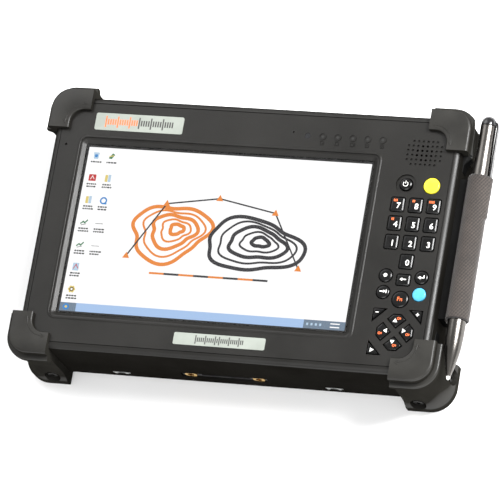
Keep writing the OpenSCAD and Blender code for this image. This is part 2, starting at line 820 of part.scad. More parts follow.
module port_cover() {
    inner = cover_w - 2 * lug_w;
    color(rubber_grey) place() {
        translate([cover_x, 0, 0]) difference() {
            union() {
                block(-cover_w / 2, cover_w / 2, half_h - cover_t, half_h, cover_z + 0.9,
                    cover_z + cover_h);
                block(-inner / 2, inner / 2, half_h - cover_t + 0.2, half_h, hinge_z, cover_z + 1);
                translate([0, hinge_y, hinge_z]) rotate([0, 90, 0])
                    cylinder(r = knuckle_r - 0.2, h = inner, center = true);
                // pull tab
                block(-5, 5, half_h - eps, half_h + 1.2, cover_z + cover_h - 2.2, cover_z + cover_h - 1);
            }
            translate([0, hinge_y, hinge_z]) rotate([0, 90, 0])
                cylinder(r = pin_r + pin_gap, h = cover_w + 2, center = true);
        }
    }
}

module battery_pack() {
    top = bay_top - gap;
    color(body_grey) place() difference() {
        union() {
            block(-half_w, bay_end - 0.4, -battery_w / 2, battery_w / 2, top - battery_t, top);
            block(-half_w + 2, bay_end - 0.4, -battery_w / 2 - rail_out + 0.2,
                battery_w / 2 + rail_out - 0.2, rail_z, rail_z + rail_t);
        }
        // notch for the latch, finger recess at the outer end
        block(latch_x - notch_half, latch_x + notch_half, battery_w / 2 - notch_d,
            bay_half + 1, back_gap - 1, latch_z + latch_t + 1.1);
        translate([-half_w + 14, 0, 0]) rr_slab(14, 32, 5, back_gap - 1, back_gap + 1.8);
    }
}

module battery_latch() {
    color(body_grey) place() {
        block(latch_x - latch_half, latch_x + latch_half, latch_tip, latch_tip + 21.4, latch_z,
            latch_z + latch_t);
        difference() {
            block(latch_x - 4.4, latch_x + 4.4, latch_tip + 11, latch_tip + 18.6, back_gap + 0.3,
                latch_z + eps);
            for (i = [-1 : 1]) block(latch_x - 3.4, latch_x + 3.4, latch_tip + 14.4 + i * 2,
                latch_tip + 15.1 + i * 2, back_gap - 1, back_gap + 0.8);
        }
    }
}

module sleeve_rail() {
    color(body_grey) place() difference() {
        block(half_w, half_w + rail_thick, sleeve_low + 1, sleeve_top - 1, 22.5, 35.5);
        at_clamp_screws() rod(screw_r + 0.25, half_w - 1, tab_x + 1);
    }
}

// Knitted tube with a sewn tab; the clip rides in a bulge on the outer side.
module stylus_sleeve() {
    color([0.3, 0.28, 0.26]) place() difference() {
        union() {
            translate([stylus_x, sleeve_top, stylus_z]) rotate([90, 0, 0])
                cylinder(r = sleeve_r, h = sleeve_top - sleeve_low);
            block(stylus_x, stylus_x + bulge_r, clip_low - 1.5, sleeve_top, stylus_z - clip_w / 2 - 1,
                stylus_z + clip_w / 2 + 1);
            block(tab_x, tab_x + sleeve_t, sleeve_low, sleeve_top, clamp_z - 3, stylus_z);
        }
        translate([stylus_x, sleeve_top + 1, stylus_z]) rotate([90, 0, 0])
            cylinder(r = sleeve_bore, h = sleeve_top - sleeve_low + 2);
        block(stylus_x, stylus_x + bulge_r - sleeve_t, clip_low - gap, sleeve_top + 1,
            stylus_z - clip_w / 2 - gap, stylus_z + clip_w / 2 + gap);
        at_clamp_screws() rod(screw_r + 0.25, tab_x - 1, tab_x + sleeve_t + 1);
    }
}

module sleeve_clamp() {
    color(metal) place() difference() {
        block(tab_x + sleeve_t, tab_x + sleeve_t + clamp_t, sleeve_low + 1, sleeve_top - 1,
            clamp_z - 2.6, clamp_z + 2.6);
        at_clamp_screws() rod(screw_r + 0.25, tab_x, tab_x + sleeve_t + clamp_t + 1);
    }
}

// Turned profile of the stylus along its axis.
module turned(profile) {
    translate([stylus_x, 0, stylus_z]) rotate([-90, 0, 0]) rotate_extrude() polygon(profile);
}

module stylus_barrel() {
    color([0.75, 0.75, 0.77]) place() turned([
        [0, stylus_low], [1.25, stylus_low], [1.5, stylus_low + 1.6], [2.5, stylus_low + 5.6],
        [3.5, stylus_low + 10], [4.05, stylus_low + 13.5], [stylus_max_r - 0.2, stylus_low + 20],
        [stylus_max_r, stylus_low + 27], [stylus_max_r, sleeve_low + 4], [stylus_top_r + 0.5, 0],
        [stylus_top_r + 0.3, sleeve_top], [stylus_top_r, stylus_top - 0.4], [stylus_top_r - 0.3,
            stylus_top], [0, stylus_top]]);
}

module stylus_nib() {
    color([0.95, 0.95, 0.95]) place()
        turned([[0, stylus_low - 1.9], [0.5, stylus_low - 1.7], [1, stylus_low - 0.9],
        [1, stylus_low], [0, stylus_low]]);
}

module stylus_cap() {
    top = stylus_top + crown_h;
    color(key_black) place() {
        turned([[0, stylus_top], [stylus_top_r, stylus_top], [stylus_top_r, stylus_top + 1.6],
            [stylus_top_r - 0.5, stylus_top + 3.2], [stylus_top_r - 1.6, top - 0.6],
                [stylus_top_r - 2.8, top], [0, top]]);
        translate([stylus_x, 0, stylus_z - clip_w / 2]) linear_extrude(clip_w) polygon([
            [stylus_top_r - 1.2, stylus_top + 2.6], [clip_in + 0.4, stylus_top + 1.4],
                [clip_in + clip_t, stylus_top - 1.2],
            [clip_in + clip_t, clip_low + 1], [clip_in + clip_t - 0.3, clip_low], [clip_in + 0.1, clip_low],
            [clip_in, clip_low + 1], [clip_in, stylus_top + 0.1], [stylus_top_r - 1.2, stylus_top + 0.1]]);
    }
}

// Key caps: a flange under the face, and a cap whose top edge is stepped in.
module key_cap(flange_r) {
    translate([0, 0, flange_low]) linear_extrude(flange_t) children(0);
    translate([0, 0, flange_top - eps]) linear_extrude(key_top - 0.3 - flange_top + eps) children(1);
    translate([0, 0, key_top - 0.3 - eps]) linear_extrude(0.3 + eps) children(2);
}

module rect_key(at, size, tint) {
    color(tint) place() translate([key_x, 0, 0]) key_cap() {
        rect_outline(at, size, flange_out);
        rect_outline(at, size, 0);
        rect_outline(at, size, -0.3);
    }
}

module round_key(at, r, tint) {
    color(tint) place() translate([key_x, 0, 0]) key_cap() {
        round_outline(at, r, flange_out);
        round_outline(at, r, 0);
        round_outline(at, r, -0.3);
    }
}

module shaped_key(at, r, shape, turn) {
    color(key_black) place() translate([key_x, turn[1], 0]) rotate(turn[0]) key_cap() {
        round_outline(at, r, 0);
        polygon(shape);
        polygon(grow(shape, -0.3));
    }
}

module digit_key(c, r) {
    rect_key(digit_at(c, r), [key_w, key_h], key_black);
}

module arrow_key(turn) {
    shaped_key([0, 6.4], arrow_flange_r, arrow_shape, [turn, arrow_y]);
}

module key_power() { round_key(power_at, power_r, key_black); }
module key_yellow() { round_key(yellow_at, yellow_r, [1, 0.95, 0.2]); }
module key_7() { digit_key(0, 0); }
module key_8() { digit_key(1, 0); }
module key_9() { digit_key(2, 0); }
module key_4() { digit_key(0, 1); }
module key_5() { digit_key(1, 1); }
module key_6() { digit_key(2, 1); }
module key_1() { digit_key(0, 2); }
module key_2() { digit_key(1, 2); }
module key_3() { digit_key(2, 2); }
module key_0() { digit_key(1, 3); }
module key_point() { round_key(point_at, round_r, key_black); }
module key_backspace() { rect_key(backspace_at, backspace_size, key_black); }
module key_enter() { round_key(enter_at, round_r, key_black); }
module key_tab() { round_key(tab_at, round_r, key_black); }
module key_fn() { round_key(fn_at, fn_r, key_black); }
module key_blue() { round_key(blue_at, round_r, [0.35, 0.78, 0.92]); }
module key_minus() { shaped_key([-10.8, -37.2], corner_flange_r, minus_shape, [0, 0]); }
module key_plus() { shaped_key([10.8, -37.2], corner_flange_r, plus_shape, [0, 0]); }
module key_up() { arrow_key(0); }
module key_down() { arrow_key(180); }
module key_left() { arrow_key(90); }
module key_right() { arrow_key(270); }
module key_pointer() { shaped_key([-10.8, -57.6], corner_flange_r, pointer_shape, [0, 0]); }

rear_housing();
front_housing();
housing_seal();
touch_glass();
display_module();
display_gasket();
mid_frame();
main_board();
storage_module();
keypad_board();
speaker();
indicator_lenses();
sensor_lens();
upper_label_plate();
lower_label_plate();
bumper_top_left();
bumper_top_right();
bumper_bottom_left();
bumper_bottom_right();
side_screws();
housing_screws();
dock_strikes();
dock_connector();
dock_guide_bushes();
io_ports();
stylus_sleeve();
sleeve_rail();
sleeve_clamp();
port_cover_pin();
battery_pack();
battery_latch();
port_cover();
stylus_barrel();
stylus_nib();
stylus_cap();
key_power();
key_yellow();
key_7();
key_8();
key_9();
key_4();
key_5();
key_6();
key_1();
key_2();
key_3();
key_0();
key_point();
key_backspace();
key_enter();
key_tab();
key_fn();
key_blue();
key_minus();
key_plus();
key_up();
key_down();
key_left();
key_right();
key_pointer();
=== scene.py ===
import math
import random

import bmesh
import bpy
from mathutils import Euler, Matrix, Vector


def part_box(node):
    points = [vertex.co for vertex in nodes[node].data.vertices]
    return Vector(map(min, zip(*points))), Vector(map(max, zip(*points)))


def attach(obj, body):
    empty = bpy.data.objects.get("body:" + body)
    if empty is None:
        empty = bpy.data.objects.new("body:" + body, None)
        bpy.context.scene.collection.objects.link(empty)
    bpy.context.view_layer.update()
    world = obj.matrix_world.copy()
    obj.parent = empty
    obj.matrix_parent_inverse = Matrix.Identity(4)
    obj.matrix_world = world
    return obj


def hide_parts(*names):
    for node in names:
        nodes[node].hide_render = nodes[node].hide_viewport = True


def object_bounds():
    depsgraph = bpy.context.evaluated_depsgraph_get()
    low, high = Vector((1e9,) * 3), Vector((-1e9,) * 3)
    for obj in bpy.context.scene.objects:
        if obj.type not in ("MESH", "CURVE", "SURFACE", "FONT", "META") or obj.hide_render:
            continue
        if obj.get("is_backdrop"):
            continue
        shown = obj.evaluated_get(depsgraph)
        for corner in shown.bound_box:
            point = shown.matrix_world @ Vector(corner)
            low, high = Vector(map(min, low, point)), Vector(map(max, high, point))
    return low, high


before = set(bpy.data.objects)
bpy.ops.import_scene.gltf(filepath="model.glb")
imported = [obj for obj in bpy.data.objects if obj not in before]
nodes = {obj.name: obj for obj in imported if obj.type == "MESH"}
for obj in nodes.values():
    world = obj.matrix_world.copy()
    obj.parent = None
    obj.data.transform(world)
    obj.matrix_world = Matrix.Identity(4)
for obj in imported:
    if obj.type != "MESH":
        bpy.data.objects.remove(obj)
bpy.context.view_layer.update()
draw = random.Random(7)
print("frame loaded:", len(nodes), "nodes")

# Every length below is in millimetres, counted from the middle of the housing
frontLow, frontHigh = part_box("front_housing")
middle = (frontLow + frontHigh) / 2 * 1000
faceZ = frontHigh.z * 1000


def boxOf(node):
    low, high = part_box(node)
    shift = Vector((middle.x, middle.y, 0))
    return low * 1000 - shift, high * 1000 - shift


def inMetres(points):
    return [((x + middle.x) / 1000, (y + middle.y) / 1000, z / 1000) for x, y, z in points]


def placed(name, data):
    piece = bpy.data.objects.new(name, data)
    bpy.context.scene.collection.objects.link(piece)
    return piece


# The mesh that an object has once its modifiers are applied
def evaluated(piece):
    return bpy.data.meshes.new_from_object(
        piece.evaluated_get(bpy.context.evaluated_depsgraph_get()))


# Colours are given as on a paint chart and turned to the linear values that shaders use
def linear(chart):
    values = []
    for i in (0, 2, 4):
        c = int(chart[i:i + 2], 16) / 255
        values.append(c / 12.92 if c <= 0.04045 else ((c + 0.055) / 1.055) ** 2.4)
    return (*values, 1)


def addNode(tree, kind, settings=None, inputs=None, links=None):
    node = tree.nodes.new(kind)
    for key, value in (settings or {}).items():
        setattr(node, key, value)
    for key, value in (inputs or {}).items():
        node.inputs[key].default_value = value
    for key, source in (links or {}).items():
        tree.links.new(source, node.inputs[key])
    return node


def startMaterial(name, inputs):
    material = bpy.data.materials.new(name)
    material.use_nodes = True
    tree = material.node_tree
    tree.nodes.clear()
    shader = addNode(tree, "ShaderNodeBsdfPrincipled", inputs=inputs)
    addNode(tree, "ShaderNodeOutputMaterial", links={"Surface": shader.outputs["BSDF"]})
    place = addNode(tree, "ShaderNodeTexCoord").outputs["Object"]
    return material, tree, shader, place


# A surface with a cloudy change of tone and gloss, and a fine grain pressed into it.
# tones and gloss are the two ends of the change, cloud and grain its sizes in millimetres,
# depth the grain's height in millimetres, and pull stretches the grain along one axis.
def grained(name, tones, gloss, cloud, grain, depth, pull=(1, 1, 1), fixed=None):
    material, tree, shader, place = startMaterial(name, fixed or {})
    clouds = addNode(tree, "ShaderNodeTexNoise", inputs={"Scale": 1000 / cloud, "Detail": 3},
                     links={"Vector": place})
    spread = addNode(tree, "ShaderNodeMapRange",
                     inputs={"From Min": 0.3, "From Max": 0.7}, links={"Value": clouds.outputs[0]})
    tone = addNode(tree, "ShaderNodeMix", {"data_type": "RGBA"},
                   {6: linear(tones[0]), 7: linear(tones[1])}, {0: spread.outputs[0]})
    shine = addNode(tree, "ShaderNodeMapRange",
                    inputs={"From Min": 0.3, "From Max": 0.7, "To Min": gloss[0], "To Max": gloss[1]},
                    links={"Value": clouds.outputs[0]})
    drawn = addNode(tree, "ShaderNodeMapping", inputs={"Scale": pull}, links={"Vector": place})
    grains = addNode(tree, "ShaderNodeTexNoise", inputs={"Scale": 1000 / grain, "Detail": 2},
                     links={"Vector": drawn.outputs[0]})
    bump = addNode(tree, "ShaderNodeBump", inputs={"Strength": 0.6, "Distance": depth / 1000},
                   links={"Height": grains.outputs[0]})
    tree.links.new(tone.outputs[2], shader.inputs["Base Color"])
    tree.links.new(shine.outputs[0], shader.inputs["Roughness"])
    tree.links.new(bump.outputs[0], shader.inputs["Normal"])
    return material


# A matt grain hides its own gloss when it is seen edge-on: the specular level fades with the angle
def veiled(material, level=0.26, rest=0.0):
    tree = material.node_tree
    shader = tree.nodes["Principled BSDF"]
    facing = addNode(tree, "ShaderNodeLayerWeight", inputs={"Blend": 0.5})
    fade = addNode(tree, "ShaderNodeMapRange",
                   inputs={"From Min": 0.30, "From Max": 0.55, "To Min": level, "To Max": rest},
                   links={"Value": facing.outputs["Facing"]})
    tree.links.new(fade.outputs[0], shader.inputs["Specular IOR Level"])
    return material


# ABS/PC blend moulded in a spark-eroded tool: dark warm grey with a fine matt grain,
# about 0.2 mm in the real one and drawn at 0.5 mm so that it shows
housingPlastic = veiled(grained("housingPlastic", ("100f0d", "171614"), (0.34, 0.44), 30, 0.5, 0.10,
                                fixed={"IOR": 1.54}))
# Acetal of the sleeve's rail, planed and matt, painted near black: painted shade under the sleeve
shadedRailPlastic = veiled(grained("shadedRailPlastic", ("080808", "0f0f0f"), (0.5, 0.6), 20, 0.6, 0.02,
                             fixed={"IOR": 1.48}), level=0.1)
# TPE rubber moulded over the corners: softer and greyer, with a dusty bloom
bumperRubber = veiled(grained("bumperRubber", ("1b1a18", "242320"), (0.34, 0.44), 14, 0.7, 0.05,
                              fixed={"IOR": 1.50}), level=0.28, rest=0.0)
# The same rubber on the skirts along the side walls, painted nearly black: painted shade, for they sit
# in shade beside the side walls
shadedSkirtRubber = veiled(grained("shadedSkirtRubber", ("080808", "0f0f0f"), (0.5, 0.6), 9, 0.6, 0.03,
                             fixed={"IOR": 1.50}), level=0.1)
# Silicone rubber of seals and the port cover: near black and matt
sealRubber = grained("sealRubber", ("191918", "222221"), (0.55, 0.7), 9, 0.6, 0.03,
                     fixed={"IOR": 1.43})
# Polycarbonate key caps with a hard gloss lacquer, slightly marked by fingers
keyFinish = {"IOR": 1.58, "Specular IOR Level": 0.18, "Coat Weight": 0.12, "Coat Roughness": 0.12}
keyBlack = grained("keyBlack", ("040404", "080808"), (0.20, 0.30), 5, 0.8, 0.004, fixed=keyFinish)
keyYellow = grained("keyYellow", ("ccc026", "d8cc38"), (0.30, 0.40), 4, 0.7, 0.004, fixed=keyFinish)
keyBlue = grained("keyBlue", ("3a8bae", "4a9bbc"), (0.30, 0.40), 4, 0.7, 0.004, fixed=keyFinish)
# Pad-printed ink: two-part epoxy, half matt
inkFinish = {"IOR": 1.5}
whiteInk = grained("whiteInk", ("dededa", "eaeae6"), (0.45, 0.6), 2, 0.4, 0.004, fixed=inkFinish)
orangeInk = grained("orangeInk", ("c9592c", "d86a35"), (0.45, 0.6), 2, 0.4, 0.004, fixed=inkFinish)
darkInk = grained("darkInk", ("2c2b2a", "3a3938"), (0.45, 0.6), 2, 0.4, 0.004, fixed=inkFinish)
# Anodised aluminium label plate with a pale satin lacquer
labelPlate = grained("labelPlate", ("7f847d", "8a8f88"), (0.45, 0.55), 12, 0.6, 0.006,
                     pull=(1, 12, 1), fixed={"IOR": 1.5})
# Stainless steel stylus barrel, turned and satin-brushed round its axis
metalFinish = {"Metallic": 1.0}
stylusSteel = grained("stylusSteel", ("504e4b", "625f5c"), (0.22, 0.30), 20, 0.9, 0.004,
                      pull=(1, 14, 1), fixed=metalFinish)
# Blackened steel of the screws and the clamp strip; zinc-plated steel of strikes, port shells
# and hinge pin
blackSteel = grained("blackSteel", ("232221", "302f2d"), (0.3, 0.42), 3, 0.5, 0.006, fixed=metalFinish)
zincSteel = grained("zincSteel", ("b4b6b6", "cccdcb"), (0.25, 0.42), 3, 0.5, 0.006, fixed=metalFinish)
# Gilded brass guide bushes
brass = grained("brass", ("d2a24a", "e3b85e"), (0.18, 0.30), 3, 0.5, 0.004, fixed=metalFinish)
# Sandblasted aluminium heat spreader
castAluminium = grained("castAluminium", ("9fa2a4", "b3b5b6"), (0.42, 0.58), 10, 0.5, 0.02,
                        fixed=metalFinish)
# Glass-fibre board under green solder resist; the copper shows as paler lines
circuitBoard = grained("circuitBoard", ("0f4a2c", "1d6a3e"), (0.25, 0.4), 3, 1.2, 0.03,
                       pull=(1, 6, 1), fixed={"IOR": 1.55})
# Glass-filled nylon of sockets, speaker and battery contacts
socketNylon = grained("socketNylon", ("161617", "202021"), (0.38, 0.5), 6, 0.5, 0.02,
                      fixed={"IOR": 1.53})
# Black glass of the light sensor, and the smoky light guides of the indicators
sensorGlass = grained("sensorGlass", ("0b0c0e", "141518"), (0.05, 0.10), 2, 0.9, 0.002,
                      fixed={"IOR": 1.52, "Coat Weight": 0.6})
indicatorLens = grained("indicatorLens", ("0a0a09", "121211"), (0.40, 0.50), 1, 0.5, 0.003,
                        fixed={"IOR": 1.49})
# Acetal nib, worn to a soft white, and gloss black ABS of the crown and clip
acetal = grained("acetal", ("e9e9e4", "f7f7f3"), (0.3, 0.45), 2, 0.5, 0.004, fixed={"IOR": 1.48})
glossBlack = grained("glossBlack", ("0e0e0f", "171718"), (0.14, 0.24), 5, 0.9, 0.004,
                     fixed={"IOR": 1.54})
print("materials ready")


# A part is gathered as plain lists in millimetres, and becomes one mesh at the end
def newPart():
    return {"verts": [], "faces": [], "slots": []}


def addLoft(part, loops, slot=0, ends=True):
    start, count = len(part["verts"]), len(loops[0])
    for loop in loops:
        part["verts"] += [tuple(v) for v in loop]
    faces = [[start + k * count + i, start + k * count + (i + 1) % count,
              start + (k + 1) * count + (i + 1) % count, start + (k + 1) * count + i]
             for k in range(len(loops) - 1) for i in range(count)]
    if ends:
        faces.append([start + i for i in reversed(range(count))])
        faces.append([start + (len(loops) - 1) * count + i for i in range(count)])
    part["faces"] += faces
    part["slots"] += [slot] * len(faces)


def addPrism(part, outline, low, high, slot=0):
    addLoft(part, [[(x, y, z) for x, y in outline] for z in (low, high)], slot)


# A raised line of even width that follows a path in the XY plane
def addStroke(part, path, width, low, high, slot=0, closed=False):
    loops = []
    last = len(path) - 1
    for i, point in enumerate(path):
        here = Vector(point)
        into = here - Vector(path[i - 1]) if closed or i > 0 else Vector(path[1]) - here
        away = Vector(path[(i + 1) % len(path)]) - here if closed or i < last else into
        side = Vector((-into.y, into.x)).normalized() + Vector((-away.y, away.x)).normalized()
        side = side.normalized() * width / 2 / max(0.5, side.length / 2)
        loops.append([(*(here + side), low), (*(here - side), low),
                      (*(here - side), high), (*(here + side), high)])
    if closed:
        loops.append(loops[0])
    addLoft(part, loops, slot, ends=not closed)


# Figures and letters from Blender's own typeface, scaled to a height round a centre
def addFigure(part, word, centre, height, low, high, slot=0, weight=0.02):
    curve = bpy.data.curves.new("figure", "FONT")
    curve.body, curve.offset, curve.extrude, curve.resolution_u = word, weight, 0.5, 3
    holder = placed("figure", curve)
    bpy.context.view_layer.update()
    mesh = evaluated(holder)
    xs = [v.co.x for v in mesh.vertices]
    ys = [v.co.y for v in mesh.vertices]
    size = height / (max(ys) - min(ys))
    shift = Vector(((max(xs) + min(xs)) / 2, (max(ys) + min(ys)) / 2))
    start = len(part["verts"])
    part["verts"] += [(centre[0] + (v.co.x - shift.x) * size, centre[1] + (v.co.y - shift.y) * size,
                       low if v.co.z < 0 else high) for v in mesh.vertices]
    part["faces"] += [[start + i for i in face.vertices] for face in mesh.polygons]
    part["slots"] += [slot] * len(mesh.polygons)
    bpy.data.objects.remove(holder)
    bpy.data.meshes.remove(mesh)
    bpy.data.curves.remove(curve)


def roundedOutline(points, radius, steps=5):
    outline = []
    for i, point in enumerate(points):
        corner, before = Vector(point), Vector(points[i - 1])
        after = Vector(points[(i + 1) % len(points)])
        u, v = (before - corner), (after - corner)
        half = u.angle(v) / 2
        cut = min(radius / math.tan(half), 0.45 * u.length, 0.45 * v.length)
        u, v = u.normalized(), v.normalized()
        turnRadius = cut * math.tan(half)
        centre = corner + (u + v).normalized() * turnRadius / math.sin(half)
        first, final = corner + u * cut - centre, corner + v * cut - centre
        angle = math.atan2(first.y, first.x)
        turn = (math.atan2(final.y, final.x) - angle + math.pi) % (2 * math.pi) - math.pi
        for k in range(steps + 1):
            a = angle + turn * k / steps
            outline.append((centre.x + turnRadius * math.cos(a), centre.y + turnRadius * math.sin(a)))
    return outline


def circleOutline(centre, radius, count=40):
    return [(centre[0] + radius * math.cos(i / count * 2 * math.pi),
             centre[1] + radius * math.sin(i / count * 2 * math.pi)) for i in range(count)]


def rectOutline(centre, width, height, radius):
    x, y, w, h = *centre, width / 2, height / 2
    return roundedOutline([(x - w, y - h), (x + w, y - h), (x + w, y + h), (x - w, y + h)], radius)


# Moves an anticlockwise outline inward by a distance, or outward if it is negative
def inset(outline, distance):
    moved = []
    for i, point in enumerate(outline):
        here = Vector(point)
        into = (here - Vector(outline[i - 1])).normalized()
        away = (Vector(outline[(i + 1) % len(outline)]) - here).normalized()
        side = Vector((-into.y - away.y, into.x + away.x))
        moved.append(here + side.normalized() * distance / max(0.5, side.length / 2))
    # An arc smaller than the distance turns inside out: its points are drawn together instead
    count = len(moved)
    turned = [(moved[(i + 1) % count] - moved[i]).dot(
        Vector(outline[(i + 1) % count]) - Vector(outline[i])) < 0 for i in range(count)]
    for i in range(count):
        if turned[i] and not turned[i - 1]:
            run = [i]
            while turned[run[-1] % count]:
                run.append((run[-1] + 1) % count)
            mean = sum((moved[k] for k in run), Vector((0, 0))) / len(run)
            for k in run:
                moved[k] = mean
    return [(p.x, p.y) for p in moved]


def finishMesh(mesh, materials, angle):
    for material in materials:
        mesh.materials.append(material)
    work = bmesh.new()
    work.from_mesh(mesh)
    bmesh.ops.remove_doubles(work, verts=work.verts, dist=1e-7)
    bmesh.ops.recalc_face_normals(work, faces=work.faces)
    work.to_mesh(mesh)
    work.free()
    mesh.shade_smooth()
    mesh.set_sharp_from_angle(angle=math.radians(angle))


def meshOf(part, name, materials, angle, ribShades=None):
    mesh = bpy.data.meshes.new(name)
    mesh.from_pydata(inMetres(part["verts"]), [], part["faces"])
    for face, index in zip(mesh.polygons, part["slots"]):
        face.material_index = index
    if ribShades:
        mesh.attributes.new("paintedRibShade", "FLOAT", "POINT").data.foreach_set("value", ribShades)
    finishMesh(mesh, materials, angle)
    return mesh


# A visible piece moves with its body, has its material's slot and stands in for CAD pieces
def joined(piece, body, replaced=()):
    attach(piece, body)
    if replaced:
        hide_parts(*replaced)
    return piece


def makePiece(part, name, materials, body, replaced=(), angle=35, ribShades=None):
    return joined(placed(name, meshOf(part, name, materials, angle, ribShades)), body, replaced)


# A copy of a moulded CAD piece whose sharp edges get the small radius of a real mould
def softened(node, name, radius, material, body):
    mesh = nodes[node].data.copy()
    if "custom_normal" in mesh.attributes:
        mesh.attributes.remove(mesh.attributes["custom_normal"])
    work = bmesh.new()
    work.from_mesh(mesh)
    bmesh.ops.remove_doubles(work, verts=work.verts, dist=1e-6)
    bmesh.ops.dissolve_limit(work, angle_limit=math.radians(1), verts=work.verts, edges=work.edges)
    work.to_mesh(mesh)
    work.free()
    mesh.materials.clear()
    mesh.materials.append(material)
    mesh.shade_smooth()
    piece = placed(name, mesh)
    edge = piece.modifiers.new("edge", "BEVEL")
    edge.width, edge.segments = radius / 1000, 2
    edge.limit_method, edge.angle_limit = "ANGLE", math.radians(35)
    edge.harden_normals = True
    return joined(piece, body, [node])


softened("front_housing", "frontHousing", 0.25, housingPlastic, "tablet")
softened("rear_housing", "rearHousing", 0.3, housingPlastic, "tablet")
softened("battery_pack", "batteryPack", 0.1, housingPlastic, "battery")
softened("battery_latch", "batteryLatch", 0.12, housingPlastic, "latch")
softened("port_cover", "portCover", 0.3, sealRubber, "cover")
# The rail's near-black plastic is painted shade, for the sleeve shades it
softened("sleeve_rail", "sleeveRail", 0.3, shadedRailPlastic, "tablet")
softened("dock_connector", "dockConnector", 0.15, socketNylon, "tablet")
softened("stylus_cap", "stylusCrown", 0.3, glossBlack, "stylus")
print("moulded pieces softened")

# CAD pieces that keep their shape and get their real material
kept = {"housing_seal": sealRubber, "display_gasket": sealRubber, "display_module": socketNylon,
        "mid_frame": castAluminium, "storage_module": castAluminium, "main_board": circuitBoard,
        "keypad_board": circuitBoard, "speaker": socketNylon, "indicator_lenses": indicatorLens,
        "sensor_lens": sensorGlass, "upper_label_plate": labelPlate, "lower_label_plate": labelPlate,
        "side_screws": blackSteel, "housing_screws": blackSteel, "dock_strikes": zincSteel,
        "dock_guide_bushes": brass, "io_ports": zincSteel, "sleeve_clamp": blackSteel,
        "port_cover_pin": zincSteel, "stylus_nib": acetal}
for node, material in kept.items():
    for slot in nodes[node].material_slots:
        slot.material = material


# The four corner bumpers. Their section is swept round the corner: cornerPath gives the
# outline of a face that lies a distance inside the ring's outer face, with its corner radius.
bumper = {"over": 6.0, "step": 2.3, "length": 24.3, "radius": 13.0, "arm": 13.9, "fillet": 7.0,
          "housingRadius": 12.0, "housingEdge": 3.6, "back": 1.45, "screwInset": 11.0,
          "screwHeight": 9.0, "seatRadius": 3.0, "seatStart": 2.2, "lineSet": 2.4, "lineRadius": 0.26,
          "linePitch": 0.7, "lineSunk": 0.08, "tick": 2.3, "tickTurn": 0.6, "stylusRoom": 0.9}
half = Vector(((frontHigh.x - frontLow.x) * 500, (frontHigh.y - frontLow.y) * 500))
ring = half + Vector((bumper["over"], bumper["over"]))
bumperEnd = ring - Vector((bumper["length"], bumper["length"]))


def cornerPath(distance, radius, arcSteps=18, lineSteps=3):
    x, y = ring.x - distance, ring.y - distance
    points = [(bumperEnd.x + (x - radius - bumperEnd.x) * i / lineSteps, y) for i in range(lineSteps)]
    for i in range(arcSteps + 1):
        a = math.pi / 2 * (1 - i / arcSteps)
        points.append((x - radius + radius * math.cos(a), y - radius + radius * math.sin(a)))
    points += [(x, y - radius - (y - radius - bumperEnd.y) * i / lineSteps)
               for i in range(1, lineSteps + 1)]
    return points


def bumperSection():
    b, top = bumper, boxOf("bumper_top_left")[1].z
    outer = [(0.9, 0), (0.3, 0.2), (0.05, 0.8), (0, 2.0), (0, 5.2), (0.12, 5.9), (0.4, 6.5),
             (0.72, 7.2), (1.05, 8.2), (1.4, 9.6), (1.75, 11.6), (2.05, 14.5), (2.25, 18),
             (2.3, 22), (2.3, 31), (2.2, 33.4), (1.9, 34.4), (1.2, 35.0), (0.45, 35.4), (0.1, 36.0),
             (0, 36.8), (0, 38.1), (0.1, 38.8), (0.45, 39.25), (1.1, 39.42), (2.2, 39.5), (3.0, 39.6),
             (3.05, 40.0), (2.4, 40.3), (2.3, 40.7), (2.3, top - 1.5), (2.38, top - 0.95),
             (2.65, top - 0.4), (3.1, top - 0.1), (3.6, top)]
    section = [(b["arm"], b["fillet"], b["back"]), (b["arm"], b["fillet"], 0.6),
               (b["arm"] - 0.5, b["fillet"] + 0.5, 0)]
    section += [(d, b["radius"] - d, z) for d, z in outer]
    section += [(b["arm"] - 0.9, b["fillet"] + 0.9, top),
                (b["arm"] - 0.35, b["fillet"] + 0.35, top - 0.12),
                (b["arm"] - 0.05, b["fillet"] + 0.05, top - 0.5), (b["arm"], b["fillet"], top - 1.1),
                (b["arm"], b["fillet"], faceZ + 0.02)]
    edge = b["housingEdge"]
    for low in (False, True):
        for i in range(5):
            a = math.pi / 2 * ((i if low else 4 - i) / 4)
            depth = edge - edge * math.cos(a) - 0.02
            z = faceZ - edge + edge * math.sin(a) if not low else b["back"] + edge - edge * math.sin(a)
            section.append((b["over"] + depth, b["housingRadius"] - depth, z))
    return section


def cutAway(piece, cutters):
    for cutter in cutters:
        mod = piece.modifiers.new("cut", "BOOLEAN")
        mod.operation, mod.solver, mod.object = "DIFFERENCE", "EXACT", cutter
    piece.data = evaluated(piece)
    piece.modifiers.clear()
    for cutter in cutters:
        bpy.data.objects.remove(cutter)


def cylinderBetween(start, end, radius, count=32):
    a, b = Vector(start), Vector(end)
    part, axis = newPart(), (b - a).normalized()
    across = axis.orthogonal()
    loops = [[c + Matrix.Rotation(i / count * 2 * math.pi, 3, axis) @ across * radius
              for i in range(count)] for c in (a, b)]
    addLoft(part, loops)
    return placed("cutter", meshOf(part, "cutter", [], 35))


